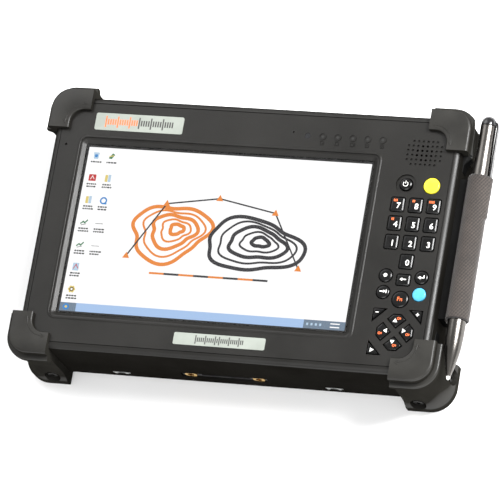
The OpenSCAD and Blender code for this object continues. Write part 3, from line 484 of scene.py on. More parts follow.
stylusAxis = (boxOf("stylus_barrel")[0] + boxOf("stylus_barrel")[1]) / 2
stylusRadius = (boxOf("stylus_barrel")[1].z - boxOf("stylus_barrel")[0].z) / 2
corners = {"bumper_top_left": (-1, 1), "bumper_top_right": (1, 1),
           "bumper_bottom_left": (-1, -1), "bumper_bottom_right": (1, -1)}
sectionPaths = [(cornerPath(d, r), z) for d, r, z in bumperSection()]
linePath = cornerPath(bumper["arm"] - bumper["lineSet"], bumper["fillet"] + bumper["lineSet"])[2:-2]
for node, (sx, sy) in corners.items():
    part = newPart()
    addLoft(part, [[(p[i][0] * sx, p[i][1] * sy, z) for p, z in sectionPaths]
                   for i in range(len(sectionPaths[0][0]))])
    piece = makePiece(part, node.replace("bumper_", "").title().replace("_", "").join(("bumper", "")),
                      [bumperRubber], "tablet", [node], angle=50)
    b, cutters = bumper, []
    wall = half - Vector((b["screwInset"], b["screwInset"]))
    for start, end in (((half.x + b["seatStart"], wall.y), (ring.x + 2, wall.y)),
                       ((wall.x, half.y + b["seatStart"]), (wall.x, ring.y + 2))):
        cutters.append(cylinderBetween((start[0] * sx, start[1] * sy, b["screwHeight"]),
                                       (end[0] * sx, end[1] * sy, b["screwHeight"]), b["seatRadius"]))
    if node == "bumper_top_right":
        cutters.append(cylinderBetween((stylusAxis.x, bumperEnd.y - 12, stylusAxis.z),
                                       (stylusAxis.x, ring.y + 2, stylusAxis.z),
                                       stylusRadius + bumper["stylusRoom"]))
    cutAway(piece, cutters)
    piece.data.shade_smooth()
    piece.data.set_sharp_from_angle(angle=math.radians(50))
    ends = piece.modifiers.new("edge", "BEVEL")
    ends.width, ends.segments, ends.harden_normals = 0.0004, 3, True
    ends.limit_method, ends.angle_limit = "ANGLE", math.radians(62)
print("bumpers swept")


# A node group is started from its inputs, finished with a material, and run on a piece
def startGroup(name, inputs):
    tree = bpy.data.node_groups.new(name, "GeometryNodeTree")
    for label, kind in inputs.items():
        tree.interface.new_socket(label, in_out="INPUT", socket_type="NodeSocket" + kind)
    tree.interface.new_socket("Geometry", in_out="OUTPUT", socket_type="NodeSocketGeometry")
    return tree, addNode(tree, "NodeGroupInput")


def finishGroup(tree, shape, material):
    real = addNode(tree, "GeometryNodeRealizeInstances", links={0: shape})
    paint = addNode(tree, "GeometryNodeSetMaterial", inputs={"Material": material},
                    links={"Geometry": real.outputs[0]})
    addNode(tree, "NodeGroupOutput", links={0: paint.outputs[0]})
    return tree


def runGroup(piece, tree, values):
    mod = piece.modifiers.new("nodes", "NODES")
    mod.node_group = tree
    for socket in tree.interface.items_tree:
        if socket.item_type == "SOCKET" and socket.name in values:
            mod[socket.identifier] = values[socket.name]
    piece.data = evaluated(piece)
    piece.modifiers.clear()


# A raised line follows each bumper's inner curve, with two ticks at either end. The path is a
# chain of edges; the node tree turns it into a rib of even width and rise.
def ribTree(name, material):
    tree, given = startGroup(name, {"Path": "Geometry", "Rib Radius": "Float",
                                    "Point Spacing": "Float"})
    curve = addNode(tree, "GeometryNodeMeshToCurve", links={"Mesh": given.outputs["Path"]})
    even = addNode(tree, "GeometryNodeResampleCurve", {"mode": "LENGTH"},
                   links={"Curve": curve.outputs[0], "Length": given.outputs["Point Spacing"]})
    section = addNode(tree, "GeometryNodeCurvePrimitiveCircle", inputs={"Resolution": 8},
                      links={"Radius": given.outputs["Rib Radius"]})
    rib = addNode(tree, "GeometryNodeCurveToMesh", inputs={"Fill Caps": True},
                  links={"Curve": even.outputs[0], "Profile Curve": section.outputs[0]})
    return finishGroup(tree, rib.outputs[0], material)


def ribPiece(name, paths, radius, spacing, material, body):
    verts, edges = [], []
    for path in paths:
        start = len(verts)
        verts += inMetres(path)
        edges += [(start + i, start + i + 1) for i in range(len(path) - 1)]
    mesh = bpy.data.meshes.new(name + "Path")
    mesh.from_pydata(verts, edges, [])
    piece = placed(name, mesh)
    runGroup(piece, ribTree(name + "Tree", material),
             {"Rib Radius": radius / 1000, "Point Spacing": spacing / 1000})
    piece.data.shade_smooth()
    joined(piece, body)


lineZ = boxOf("bumper_top_left")[1].z - bumper["lineSunk"]
linePaths = []
for sx, sy in corners.values():
    linePaths.append([(x * sx, y * sy, lineZ) for x, y in linePath])
    for tip, beside in ((linePath[0], linePath[1]), (linePath[-1], linePath[-2])):
        back = (Vector(beside) - Vector(tip)).normalized()
        for turn in (bumper["tickTurn"], -bumper["tickTurn"]):
            arm = Vector(tip) + Matrix.Rotation(turn, 2) @ back * bumper["tick"]
            linePaths.append([(tip[0] * sx, tip[1] * sy, lineZ), (arm.x * sx, arm.y * sy, lineZ)])
ribPiece("bumperLines", linePaths, bumper["lineRadius"], bumper["linePitch"], bumperRubber,
         "tablet")

# Tapered rubber skirts run from each bumper along the side wall
skirt = {"length": 8.0, "low": 26.0, "high": 37.0, "thin": 0.25, "taper": 2.5, "curve": 2.2,
         "inside": 0.6, "rows": 8}
for side in (-1, 1):
    part = newPart()
    for up in (-1, 1):
        loops = []
        for i in range(skirt["rows"] + 1):
            t = i / skirt["rows"]
            thick = skirt["thin"] + (bumper["over"] - bumper["step"] - 0.3) * t ** skirt["curve"]
            y = (bumperEnd.y - skirt["length"] + (skirt["length"] + 1) * t) * up
            low = skirt["low"] + skirt["taper"] * (1 - t)
            high = skirt["high"] - skirt["taper"] * (1 - t)
            x = half.x - skirt["inside"]
            ringPoints = [(x, low), (half.x + thick * 0.8, low + 0.3), (half.x + thick, low + 1.4),
                          (half.x + thick, high - 1.4), (half.x + thick * 0.8, high - 0.3), (x, high)]
            loops.append([(px * side, y, z) for px, z in ringPoints])
        addLoft(part, loops)
    # The skirts take rubber painted near black, as painted shade beside the side walls
    makePiece(part, "sideSkirts" + ("Left" if side < 0 else "Right"), [shadedSkirtRubber], "tablet",
              angle=40)
print("bumper lines and skirts made")


# Key caps: outline, bevel and legends of each key, counted from the keypad's middle line
keys = {"flange": 0.45, "flangeThick": 0.8, "bevel": 0.95, "drop": 0.5, "width": 7.2, "height": 7.7,
        "corner": 0.9, "ink": 0.035}
flangeLow, keyTop = boxOf("key_5")[0].z, boxOf("key_5")[1].z
flangeTop = flangeLow + keys["flangeThick"]
keyMiddle = (boxOf("key_5")[0] + boxOf("key_5")[1]) / 2


def keyCentre(node):
    low, high = boxOf(node)
    return ((low.x + high.x) / 2, (low.y + high.y) / 2)


def addCap(part, outline, bevel, drop, flange, dome=0.0, inner=0.0):
    shape = [(-flange, flangeLow), (-flange, flangeTop), (0, flangeTop), (0, keyTop - drop - 0.25),
             (0.06, keyTop - drop - 0.05), (0.2, keyTop - drop + 0.1),
             (bevel - 0.2, keyTop - 0.08 - dome), (bevel, keyTop - 0.02 - dome)]
    if dome:
        shape += [(bevel + (inner - bevel) * t, keyTop - dome * (1 - t) ** 2) for t in (0.3, 0.6, 0.9)]
    else:
        shape += [(bevel + 0.25, keyTop), (bevel + 0.6, keyTop)]
    addLoft(part, [[(x, y, z) for x, y in inset(outline, d)] for d, z in shape])


ink = (keyTop - 0.1, keyTop + keys["ink"])


def arrowHead(tip, direction, size):
    d = Vector(direction).normalized()
    s, tip = Vector((-d.y, d.x)), Vector(tip)
    back, spread = tip - d * size, s * size * 0.62
    return [tuple(tip), tuple(back + spread), tuple(back - spread)]


# Small marks stand where the second functions are printed: bars and squares, no lettering
def addBars(part, centre, count, height, slot):
    for i in range(count):
        x = centre[0] + (i - (count - 1) / 2) * 0.75
        addPrism(part, rectOutline((x, centre[1]), 0.5, height, 0.1), *ink, slot)


def makeKey(node, part, coat):
    name = "key" + "".join(word.title() for word in node.split("_")[1:])
    return makePiece(part, name, [coat, whiteInk, orangeInk], node, [node], angle=42)


secondMarks = {"7": 3, "8": 2, "9": 4, "4": 2}
for figure in "7894561230":
    node = "key_" + figure
    x, y = keyCentre(node)
    part = newPart()
    addCap(part, rectOutline((x, y), keys["width"], keys["height"], keys["corner"]),
           keys["bevel"], keys["drop"], keys["flange"])
    addFigure(part, figure, (x + 0.75, y - 0.75), 3.1, *ink, 1, weight=0.012)
    if figure in secondMarks:
        addBars(part, (x - 1.1, y + 2.0), secondMarks[figure], 1.3, 2)
    makeKey(node, part, keyBlack)

roundKeys = {"key_power": (3.3, keyBlack), "key_yellow": (4.2, keyYellow), "key_point": (3.5, keyBlack),
             "key_enter": (3.5, keyBlack), "key_tab": (3.5, keyBlack), "key_fn": (4.3, keyBlack),
             "key_blue": (3.5, keyBlue)}
for node, (radius, coat) in roundKeys.items():
    x, y = keyCentre(node)
    part = newPart()
    plain = coat is not keyBlack
    addCap(part, circleOutline((x, y), radius), 0.7 if plain else 0.9, 0.45, keys["flange"],
           dome=0.12 if plain else 0, inner=radius)
    if node == "key_power":
        arc = [(x + 1.25 * math.sin(a), y - 0.1 + 1.25 * math.cos(a))
               for a in [math.radians(40 + 280 * i / 20) for i in range(21)]]
        addStroke(part, arc, 0.3, *ink, 1)
        addStroke(part, [(x, y + 0.1), (x, y + 1.65)], 0.3, *ink, 1)
    elif node == "key_point":
        addPrism(part, circleOutline((x, y), 0.95, 24), *ink, 1)
    elif node == "key_enter":
        addStroke(part, [(x + 1.45, y + 1.1), (x + 1.45, y - 0.2), (x - 0.5, y - 0.2)], 0.55,
                  *ink, 1)
        addPrism(part, arrowHead((x - 1.75, y - 0.2), (-1, 0), 1.5), *ink, 1)
    elif node == "key_tab":
        addStroke(part, [(x - 1.7, y + 0.2), (x + 0.6, y + 0.2)], 0.5, *ink, 1)
        addPrism(part, arrowHead((x + 1.5, y + 0.2), (1, 0), 1.3), *ink, 1)
        addStroke(part, [(x + 1.75, y + 1.1), (x + 1.75, y - 0.7)], 0.4, *ink, 1)
    elif node == "key_fn":
        addFigure(part, "Fn", (x, y), 2.2, *ink, 2, weight=0.012)
    makeKey(node, part, coat)

x, y = keyCentre("key_backspace")
part = newPart()
addCap(part, rectOutline((x, y), 7.3, 6.0, keys["corner"]), keys["bevel"], keys["drop"], keys["flange"])
addStroke(part, [(x + 1.6, y + 0.1), (x - 0.5, y + 0.1)], 0.55, *ink, 1)
addPrism(part, arrowHead((x - 1.8, y + 0.1), (-1, 0), 1.4), *ink, 1)
makeKey("key_backspace", part, keyBlack)

# The four-way block: a pentagon turned to each side, and three corner triangles
fourWay = {"centre": (keyMiddle.x, -47.3),
           "arrow": [(0, 2.35), (4.75, 6.85), (2, 9.5), (-2, 9.5), (-4.75, 6.85)],
           "prints": {"key_up": ((-0.5, -0.1), (1.0, 0.9)), "key_left": ((1.3, 0.4), (-1.5, -1.1)),
                      "key_down": ((-0.3, 0.9), (0.7, -0.8)), "key_right": ((-1.3, 0.9), (0.4, -1.0))}}
for node, quarter in {"key_up": 0, "key_left": 1, "key_down": 2, "key_right": 3}.items():
    turn = Matrix.Rotation(quarter * math.pi / 2, 2)
    centre = Vector(fourWay["centre"])

    def turned(point):
        return tuple(centre + turn @ Vector(point))

    part = newPart()
    outline = roundedOutline([turned(p) for p in fourWay["arrow"]], 0.8)
    addCap(part, outline, 0.8, 0.5, 0.3)
    here, aim = Vector(turned((0, 6.3))), turn @ Vector((0, 1))
    arrowAt, markAt = fourWay["prints"][node]
    addPrism(part, arrowHead(here + Vector(arrowAt) + aim * 0.9, aim, 1.9), *ink, 1)
    mark = here + Vector(markAt)
    addStroke(part, circleOutline(mark, 0.55, 12), 0.35, *ink, 2, closed=True)
    addBars(part, mark + Vector((1.1, 0)), 1, 1.0, 2)
    makeKey(node, part, keyBlack)

triangles = {"key_minus": [(-12.7, -41.8), (-6.3, -35.3), (-12.7, -35.3)],
             "key_plus": [(12.7, -41.8), (12.7, -35.3), (6.3, -35.3)],
             "key_pointer": [(-12.7, -59.5), (-6.1, -59.5), (-12.7, -52.9)]}
for node, points in triangles.items():
    part = newPart()
    points = [(x + keyMiddle.x, y) for x, y in points]
    centre = sum((Vector(p) for p in points), Vector((0, 0))) / 3
    addCap(part, roundedOutline(points, 0.55), 0.55, 0.45, 0.3)
    if node == "key_pointer":
        addPrism(part, arrowHead(centre + Vector((-0.6, 0.9)), (-0.6, 1), 1.9), *ink, 1)
    else:
        addStroke(part, [(centre.x - 0.85, centre.y), (centre.x + 0.85, centre.y)], 0.45, *ink, 1)
        if node == "key_plus":
            addStroke(part, [(centre.x, centre.y - 0.85), (centre.x, centre.y + 0.85)], 0.45,
                      *ink, 1)
    makeKey(node, part, keyBlack)
print("keys made")


# Smooths a chain of points with a curve that passes through all of them
def smoothed(points, steps):
    out = []
    for i in range(len(points) - 1):
        a, b, c, d = (Vector(points[max(0, min(len(points) - 1, i + k))]) for k in (-1, 0, 1, 2))
        for k in range(steps):
            t = k / steps
            out.append(0.5 * (2 * b + (c - a) * t + (2 * a - 5 * b + 4 * c - d) * t * t
                              + (3 * b - a - 3 * c + d) * t ** 3))
    return out + [Vector(points[-1])]


# The stylus barrel is turned on its own axis; radius and place along it, from the nib up
barrelLow, barrelHigh = boxOf("stylus_barrel")
stylus = {"top": 4.05, "widest": stylusRadius,
          "cone": [(1.2, 0), (1.55, 1.6), (2.05, 3.6), (2.6, 6.0), (3.2, 8.6), (3.75, 11.4),
                   (4.2, 14.6), (4.52, 18.6), (4.7, 23), (4.75, 28)]}
low, high = barrelLow.y, barrelHigh.y
profile = [Vector((min(r, stylus["widest"]), low + y)) for r, y in stylus["cone"]]
profile = smoothed(profile, 4) + [Vector((stylus["widest"], low + 34)), Vector((4.62, low + 60)),
                                  Vector((4.4, high - 24)), Vector((4.1, high - 8)),
                                  Vector((stylus["top"], high - 0.5)), Vector((3.7, high))]
part = newPart()
addLoft(part, [[(stylusAxis.x + p.x * math.cos(a), p.y, stylusAxis.z + p.x * math.sin(a))
                for a in [i / 56 * 2 * math.pi for i in range(56)]] for p in profile])
makePiece(part, "stylusBarrel", [stylusSteel], "stylus", ["stylus_barrel"], angle=30)


# Knitted sleeve: polyester rib knit, drawn tight over the stylus. The real ribs are about
# 0.8 mm apart and are drawn twice as coarse, so that they show.
sleeve = {"low": -37.3, "high": 39.5, "radius": 5.86, "bore": 5.12, "ribs": 24, "around": 6,
          "rows": 216, "ribRise": 0.22, "slant": 2.3, "stitch": 1.7, "bulge": 0.75,
          "bulgeFrom": 17.0, "bulgeEase": 1.4, "bulgeWide": 0.42, "sag": 0.08, "tabX": 113.65,
          "tabThick": 1.0, "tabLow": 24.3, "tabDrop": 1.0, "tabRows": 160, "tabSteps": 36,
          "tabRib": 0.14, "tabPitch": 1.6}


def sleeveMaterial():
    material, tree, shader, place = startMaterial("ribKnit", {"IOR": 1.5, "Sheen Weight": 0.25,
                                                               "Sheen Roughness": 0.4})
    clouds = addNode(tree, "ShaderNodeTexNoise", inputs={"Scale": 110, "Detail": 4},
                     links={"Vector": place})
    yarn = addNode(tree, "ShaderNodeTexNoise", inputs={"Scale": 2200, "Detail": 1},
                   links={"Vector": place})
    mixed = addNode(tree, "ShaderNodeMath", {"operation": "MULTIPLY_ADD"}, {1: 0.5},
                    {0: clouds.outputs[0], 2: yarn.outputs[0]})
    spread = addNode(tree, "ShaderNodeMapRange", inputs={"From Min": 0.5, "From Max": 1.0},
                     links={"Value": mixed.outputs[0]})
    tone = addNode(tree, "ShaderNodeMix", {"data_type": "RGBA"},
                   {6: linear("25201d"), 7: linear("463e39")}, {0: spread.outputs[0]})
    # Painted shade: each point's rib weight mixes the knit's tone towards near black, darkening the
    # grooves between ribs, the hems and the bore inside
    depth = addNode(tree, "ShaderNodeAttribute", {"attribute_name": "paintedRibShade"})
    shade = addNode(tree, "ShaderNodeMix", {"data_type": "RGBA"}, {6: linear("040303")},
                    {0: depth.outputs["Fac"], 7: tone.outputs[2]})
    rough = addNode(tree, "ShaderNodeMapRange", inputs={"To Min": 0.75, "To Max": 0.95},
                    links={"Value": yarn.outputs[0]})
    bump = addNode(tree, "ShaderNodeBump", inputs={"Strength": 0.5, "Distance": 0.00012},
                   links={"Height": yarn.outputs[0]})
    tree.links.new(shade.outputs[2], shader.inputs["Base Color"])
    tree.links.new(rough.outputs[0], shader.inputs["Roughness"])
    tree.links.new(bump.outputs[0], shader.inputs["Normal"])
    return material


def smoothStep(a, b, x):
    t = max(0.0, min(1.0, (x - a) / (b - a)))
    return t * t * (3 - 2 * t)


def ribHeight(u, y):
    wave = 0.5 + 0.5 * math.cos(2 * math.pi * (u * sleeve["ribs"] + y / sleeve["slant"]))
    stitch = 0.5 + 0.5 * math.cos(2 * math.pi * (u * sleeve["ribs"] / 2 - y / sleeve["stitch"]))
    return 0.72 * wave ** 0.7 + 0.28 * stitch


def sleeveRadius(u, y, inner):
    angle = (u * 2 * math.pi + math.pi) % (2 * math.pi) - math.pi
    bulge = sleeve["bulge"] * math.exp(-(angle / sleeve["bulgeWide"]) ** 2) * smoothStep(
        sleeve["bulgeFrom"], sleeve["bulgeFrom"] + sleeve["bulgeEase"], y)
    sag = sleeve["sag"] * math.sin(y * 0.21) * math.sin(2 * math.pi * u + 0.7)
    return (sleeve["bore"] if inner else sleeve["radius"]) + bulge + (0 if inner else sag)


columns = sleeve["ribs"] * sleeve["around"]
rows = [(sleeve["low"] + (sleeve["high"] - sleeve["low"]) * i / sleeve["rows"], False)
        for i in range(sleeve["rows"] + 1)]
rows += [(y, True) for y in (39.5, 37, 28, 21, 17, 10, -5, -20, -34, -37.3)]
part, ribShades = newPart(), []
loops = []
for y, inner in rows:
    hem = min(abs(y - sleeve["low"]), abs(y - sleeve["high"]))
    loop = []
    for i in range(columns):
        u = i / columns
        rib = 0 if inner else ribHeight(u, y) * (0.35 if hem < 0.5 else 1)
        r = sleeveRadius(u, y, inner) + rib * sleeve["ribRise"]
        if not inner and hem < 0.3:
            r -= 0.3
        a = u * 2 * math.pi
        loop.append((stylusAxis.x + r * math.cos(a), y, stylusAxis.z + r * math.sin(a)))
        # Painted shade weight: low between the ribs, at the hems and in the bore, where the knit is
        # drawn darker
        ribShades.append(min(1.0, 0.05 + 1.1 * rib))
    loops.append(loop)
loops.append(loops[0])
addLoft(part, loops, ends=False)
ribKnit = sleeveMaterial()


tube = makePiece(part, "stylusSleeve", [ribKnit], "tablet", ["stylus_sleeve"],
                 angle=180, ribShades=ribShades + ribShades[:columns])

# Its sewn tab runs down behind the clamp strip
part, ribShades, loops = newPart(), [], []
tabTop, tabSteps = stylusAxis.z - sleeve["tabDrop"], sleeve["tabSteps"]
for i in range(sleeve["tabRows"] + 1):
    y = sleeve["low"] + (sleeve["high"] - sleeve["low"]) * i / sleeve["tabRows"]
    loop = []
    for k in range(tabSteps + 1):
        z = sleeve["tabLow"] + (tabTop - sleeve["tabLow"]) * k / tabSteps
        rib = 0.5 + 0.5 * math.cos(2 * math.pi * (z / sleeve["tabPitch"] + y / sleeve["slant"]))
        loop.append((sleeve["tabX"] + sleeve["tabThick"] - sleeve["tabRib"] * (1 - rib), y, z))
        # Painted shade weights: the tab's grooves are drawn darker, and its back face at a fixed middle
        # shade
        ribShades.append(0.25 + 0.75 * rib)
    for k in range(5):
        z = tabTop + (sleeve["tabLow"] - tabTop) * k / 4
        loop.append((sleeve["tabX"], y, z))
        ribShades.append(0.6)
    loops.append(loop)
addLoft(part, loops)
tab = makePiece(part, "sleeveTab", [ribKnit], "tablet", angle=180, ribShades=ribShades)
print("stylus and sleeve made")


# The lit picture on the display: each tone is its own emitter, a touch uneven as a backlight is
def lit(name, tone, strength=1.0):
    material, tree, shader, place = startMaterial(name, {"Base Color": linear("000000"),
                                                         "Emission Color": linear(tone),
                                                         "Specular IOR Level": 0.0,
                                                         "Roughness": 0.5})
    uneven = addNode(tree, "ShaderNodeTexNoise", inputs={"Scale": 18, "Detail": 1},
                     links={"Vector": place})
    level = addNode(tree, "ShaderNodeMapRange",
                    inputs={"To Min": strength * 0.97, "To Max": strength * 1.03},
                    links={"Value": uneven.outputs[0]})
    tree.links.new(level.outputs[0], shader.inputs["Emission Strength"])
    return material


screenTones = {"white": "ffffff", "sky": "a9c8f0", "haze": "6f8296", "orange": "f08a2c", "ink": "242328",
               "grey": "8d8d8d", "red": "c61f1f", "blue": "2f86cf", "gold": "e6cf74", "green": "3f7f55",
               "ice": "b9d3e8", "brown": "6f5a1c", "black": "030303"}
toneIndex = {tone: i for i, tone in enumerate(screenTones)}
screenMaterials = [lit("screen" + tone.title(), chart, 1.06 if tone == "white" else 1.0)
                   for tone, chart in screenTones.items()]

glassLow, glassHigh = boxOf("touch_glass")
displayTop = boxOf("display_module")[1].z
picture = {"width": 153.6, "height": 90.0, "step": 0.03, "film": 0.02, "bar": 4.6, "mask": 3.6,
           "maskOut": 1.7}
centre = Vector(((glassLow.x + glassHigh.x) / 2, (glassLow.y + glassHigh.y) / 2))
screen = newPart()


def onScreen(outline, tone, layer=1):
    z = displayTop + picture["film"] + layer * picture["step"]
    addPrism(screen, [(centre.x + x, centre.y + y) for x, y in outline], z - picture["film"], z,
             toneIndex[tone])


def lineOnScreen(path, width, tone, layer=1, closed=False):
    z = displayTop + picture["film"] + layer * picture["step"]
    addStroke(screen, [(centre.x + x, centre.y + y) for x, y in path], width, z - picture["film"], z,
              toneIndex[tone], closed)


def box(x, y, w, h, r=0.15):
    return rectOutline((x, y), w, h, r)


w, h, out = picture["width"], picture["height"], picture["maskOut"]
lineOnScreen([(-w / 2 - out, -h / 2 - out), (w / 2 + out, -h / 2 - out),
              (w / 2 + out, h / 2 + out), (-w / 2 - out, h / 2 + out)],
             picture["mask"], "black", 1, closed=True)
onScreen(box(0, 0, w, h, 0.4), "white", 0)
barY = -h / 2 + picture["bar"] / 2
onScreen(box(0, barY, w, picture["bar"]), "sky")
onScreen(box(-w / 2 + 4.4, barY, 8.8, picture["bar"]), "haze", 2)
onScreen(box(w / 2 - 11, barY, 22, picture["bar"]), "haze", 2)
onScreen(circleOutline((-w / 2 + 3.4, barY), 1.75, 24), "blue", 3)
onScreen(circleOutline((-w / 2 + 3.4, barY), 0.7, 16), "gold", 4)
for i in range(4):
    onScreen(box(w / 2 - 20 + i * 2.3, barY, 1.1, 1.3), "ice", 3)
for row in (0.9, -0.9):
    onScreen(box(w / 2 - 5.4, barY + row, 5.0, 0.6), "white", 3)

# Desktop icons stand in two columns, each with its caption as short strokes
iconRows = {"step": 12.25, "first": 40.4, "left": -72.1, "right": -63.7}


def caption(x, y, lines):
    for row in range(lines):
        at = x - 2.6 + draw.random() * 0.4
        while at < x + 2.4:
            long = 0.6 + draw.random() * 0.9
            onScreen(box(at + long / 2, y - row * 1.4, long, 0.8, 0.1), "ink")
            at += long + 0.3


def folderIcon(x, y):
    onScreen(box(x - 0.7, y, 1.5, 3.8, 0.2), "gold")
    onScreen(box(x + 1.0, y + 0.1, 1.5, 4.0, 0.2), "ice")


def sheetIcon(x, y):
    onScreen(box(x, y, 3.4, 4.2, 0.2), "ice")
    lineOnScreen([(x - 1.2, y - 1.2), (x, y + 1.3), (x + 1.3, y - 0.9)], 0.4, "red", 2)


def ringIcon(x, y):
    lineOnScreen(circleOutline((x, y), 1.6, 20), 0.8, "blue", 1, closed=True)
    onScreen(box(x + 1.3, y - 1.6, 1.2, 0.8, 0.2), "blue", 2)


def binIcon(x, y):
    onScreen([(x - 1.2, y - 1.9), (x + 1.2, y - 1.9), (x + 1.6, y + 1.7), (x - 1.6, y + 1.7)], "ice")
    onScreen(box(x, y - 0.2, 1.5, 1.6, 0.3), "blue", 2)


def tileIcon(x, y):
    onScreen(box(x, y, 4.0, 3.6, 0.3), "red")
    lineOnScreen([(x - 1.0, y - 1.0), (x, y + 1.0), (x + 1.1, y - 0.8)], 0.35, "white", 2)


def gearIcon(x, y):
    for k in range(6):
        a = k * math.pi / 3
        onScreen(circleOutline((x + 1.3 * math.cos(a), y + 1.3 * math.sin(a)), 0.75, 12), "gold")
    lineOnScreen(circleOutline((x, y), 0.9, 16), 0.6, "brown", 2, closed=True)


def leafIcon(x, y):
    onScreen([(x - 1.6, y - 1.2), (x + 0.2, y - 1.5), (x + 1.8, y + 0.9), (x + 0.4, y + 1.7)], "green")
    lineOnScreen([(x - 1.3, y - 0.2), (x + 1.3, y + 0.4)], 0.5, "gold", 2)


def planIcon(x, y):
    lineOnScreen([(x - 1.9, y - 1.0), (x - 0.5, y + 0.3), (x + 0.4, y - 0.4), (x + 1.9, y + 1.3)],
                 0.7, "green")
    lineOnScreen([(x - 1.5, y - 1.7), (x + 1.3, y - 0.9)], 0.4, "grey", 1)


def dashIcon(x, y):
    onScreen(box(x, y - 0.4, 4.2, 0.35, 0.1), "grey")


iconColumns = {"left": (binIcon, tileIcon, folderIcon, planIcon, planIcon, sheetIcon, gearIcon),
               "right": (leafIcon, folderIcon, ringIcon, dashIcon, dashIcon)}
for column, icons in iconColumns.items():
    for i, icon in enumerate(icons):
        x, y = iconRows[column], iconRows["first"] - i * iconRows["step"]
        icon(x, y)
        caption(x, y - 3.5, 1 if i == 0 else 2)

# A survey map fills the middle: contour lines round two hills, a line of stations and a scale.
# Each contour is a wavy ring, smaller and a little further over than the one below it.
hills = {"orange": {"centre": (-25, 1), "wide": 21.0, "tall": 14.5, "wobble": 0.13, "turn": 0.4},
         "ink": {"centre": (21, -3), "wide": 25.0, "tall": 14.0, "wobble": 0.11, "turn": 2.1}}
contours = {"levels": 5, "shrink": 0.205, "points": 72, "thick": 2.0, "thin": 1.1}
for tone, hill in hills.items():
    for level in range(contours["levels"]):
        share = 1 - level * contours["shrink"]
        path = []
        for i in range(contours["points"]):
            a = i / contours["points"] * 2 * math.pi
            r = share * (1 + hill["wobble"] * math.sin(3 * a + hill["turn"] + level * 0.25)
                         + hill["wobble"] * 0.6 * math.sin(2 * a - hill["turn"] * 1.7)
                         + hill["wobble"] * 0.25 * math.sin(7 * a + level))
            path.append((hill["centre"][0] + level * 0.9 + hill["wide"] * r * math.cos(a),
                         hill["centre"][1] + level * 0.5 + hill["tall"] * r * math.sin(a)))
        lineOnScreen(path, contours["thin" if level % 2 else "thick"], tone, 1 + (tone == "ink"),
                     closed=True)
stations = [(-46, -13), (-29, 16.5), (-1, 21), (30, 15), (47, -14)]
lineOnScreen(stations, 0.8, "ink", 4)
for x, y in stations:
    onScreen([(x - 1.9, y - 1.3), (x + 1.9, y - 1.3), (x, y + 2.1)], "orange", 5)
for i in range(8):
    onScreen(box(-28 + i * 8, -21.5, 8, 1.1, 0.05), "ink" if i % 2 else "orange")
makePiece(screen, "displayPicture", screenMaterials, "tablet", angle=30)


# The bezel round the glass: a raised lip outside, a shallow step, and a wall sloping to the
# glass. Each row is a distance in from the recess edge and a height above the front face.
bezel = {"overlap": 4.4, "recess": 6.6, "corner": 3.6,
         "section": [(-1.0, -0.4), (-1.0, 0.01), (-0.6, 0.16), (-0.25, 0.3), (0.05, 0.26),
                     (0.22, 0.05), (0.3, -0.36), (1.15, -0.42), (1.35, -0.55), (3.0, -1.42),
                     (3.3, -1.6), (3.36, -1.86), (2.0, -1.88), (-0.2, -1.0)]}
opening = glassHigh - glassLow
recessW = opening.x - bezel["overlap"] + bezel["recess"]
recessH = opening.y - bezel["overlap"] + bezel["recess"]
part, loops = newPart(), []
for d, z in bezel["section"]:
    outline = rectOutline(tuple(centre), recessW - 2 * d, recessH - 2 * d,
                          max(0.7, bezel["corner"] - 0.85 * d))
    loops.append([(x, y, faceZ + z) for x, y in outline])
loops.append(loops[0])
addLoft(part, loops, ends=False)
makePiece(part, "screenBezel", [housingPlastic], "tablet", angle=50)


def glassMaterial():
    material, tree, shader, place = startMaterial("touchGlass", {
        "Base Color": linear("ffffff"), "Transmission Weight": 1.0, "IOR": 1.5,
        "Specular IOR Level": 0.08})
    smear = addNode(tree, "ShaderNodeTexNoise", inputs={"Scale": 60, "Detail": 3},
                    links={"Vector": place})
    gloss = addNode(tree, "ShaderNodeMapRange", inputs={"To Min": 0.0, "To Max": 0.05},
                    links={"Value": smear.outputs[0]})
    tree.links.new(gloss.outputs[0], shader.inputs["Roughness"])
    return material


# Toughened touch glass lies just above the picture
part = newPart()
low = displayTop + picture["film"] + picture["step"] * 6
size = glassHigh - glassLow
outline = rectOutline(tuple(centre), size.x, size.y, 2.0)
chamfer = 0.15
addLoft(part, [[(x, y, z) for x, y in inset(outline, d)]
               for d, z in ((chamfer, low), (0, low + chamfer), (0, glassHigh.z - chamfer),
                            (chamfer, glassHigh.z))])
makePiece(part, "touchGlass", [glassMaterial()], "tablet", ["touch_glass"], angle=30)
print("display made")


# A ruler is printed on each label plate. plates gives its two tones, half width, tallest bar
# and pitch; barShare is a bar's width as a share of the pitch.
rulers = {"barShare": 0.55, "longEvery": 5, "shortHeight": 0.55, "longExtra": 0.55, "rise": 0.05,
          "plates": {"upper_label_plate": ((orangeInk, darkInk), 19.0, 5.6, 1.3),
                     "lower_label_plate": ((darkInk, darkInk), 13.0, 4.2, 1.05)}}


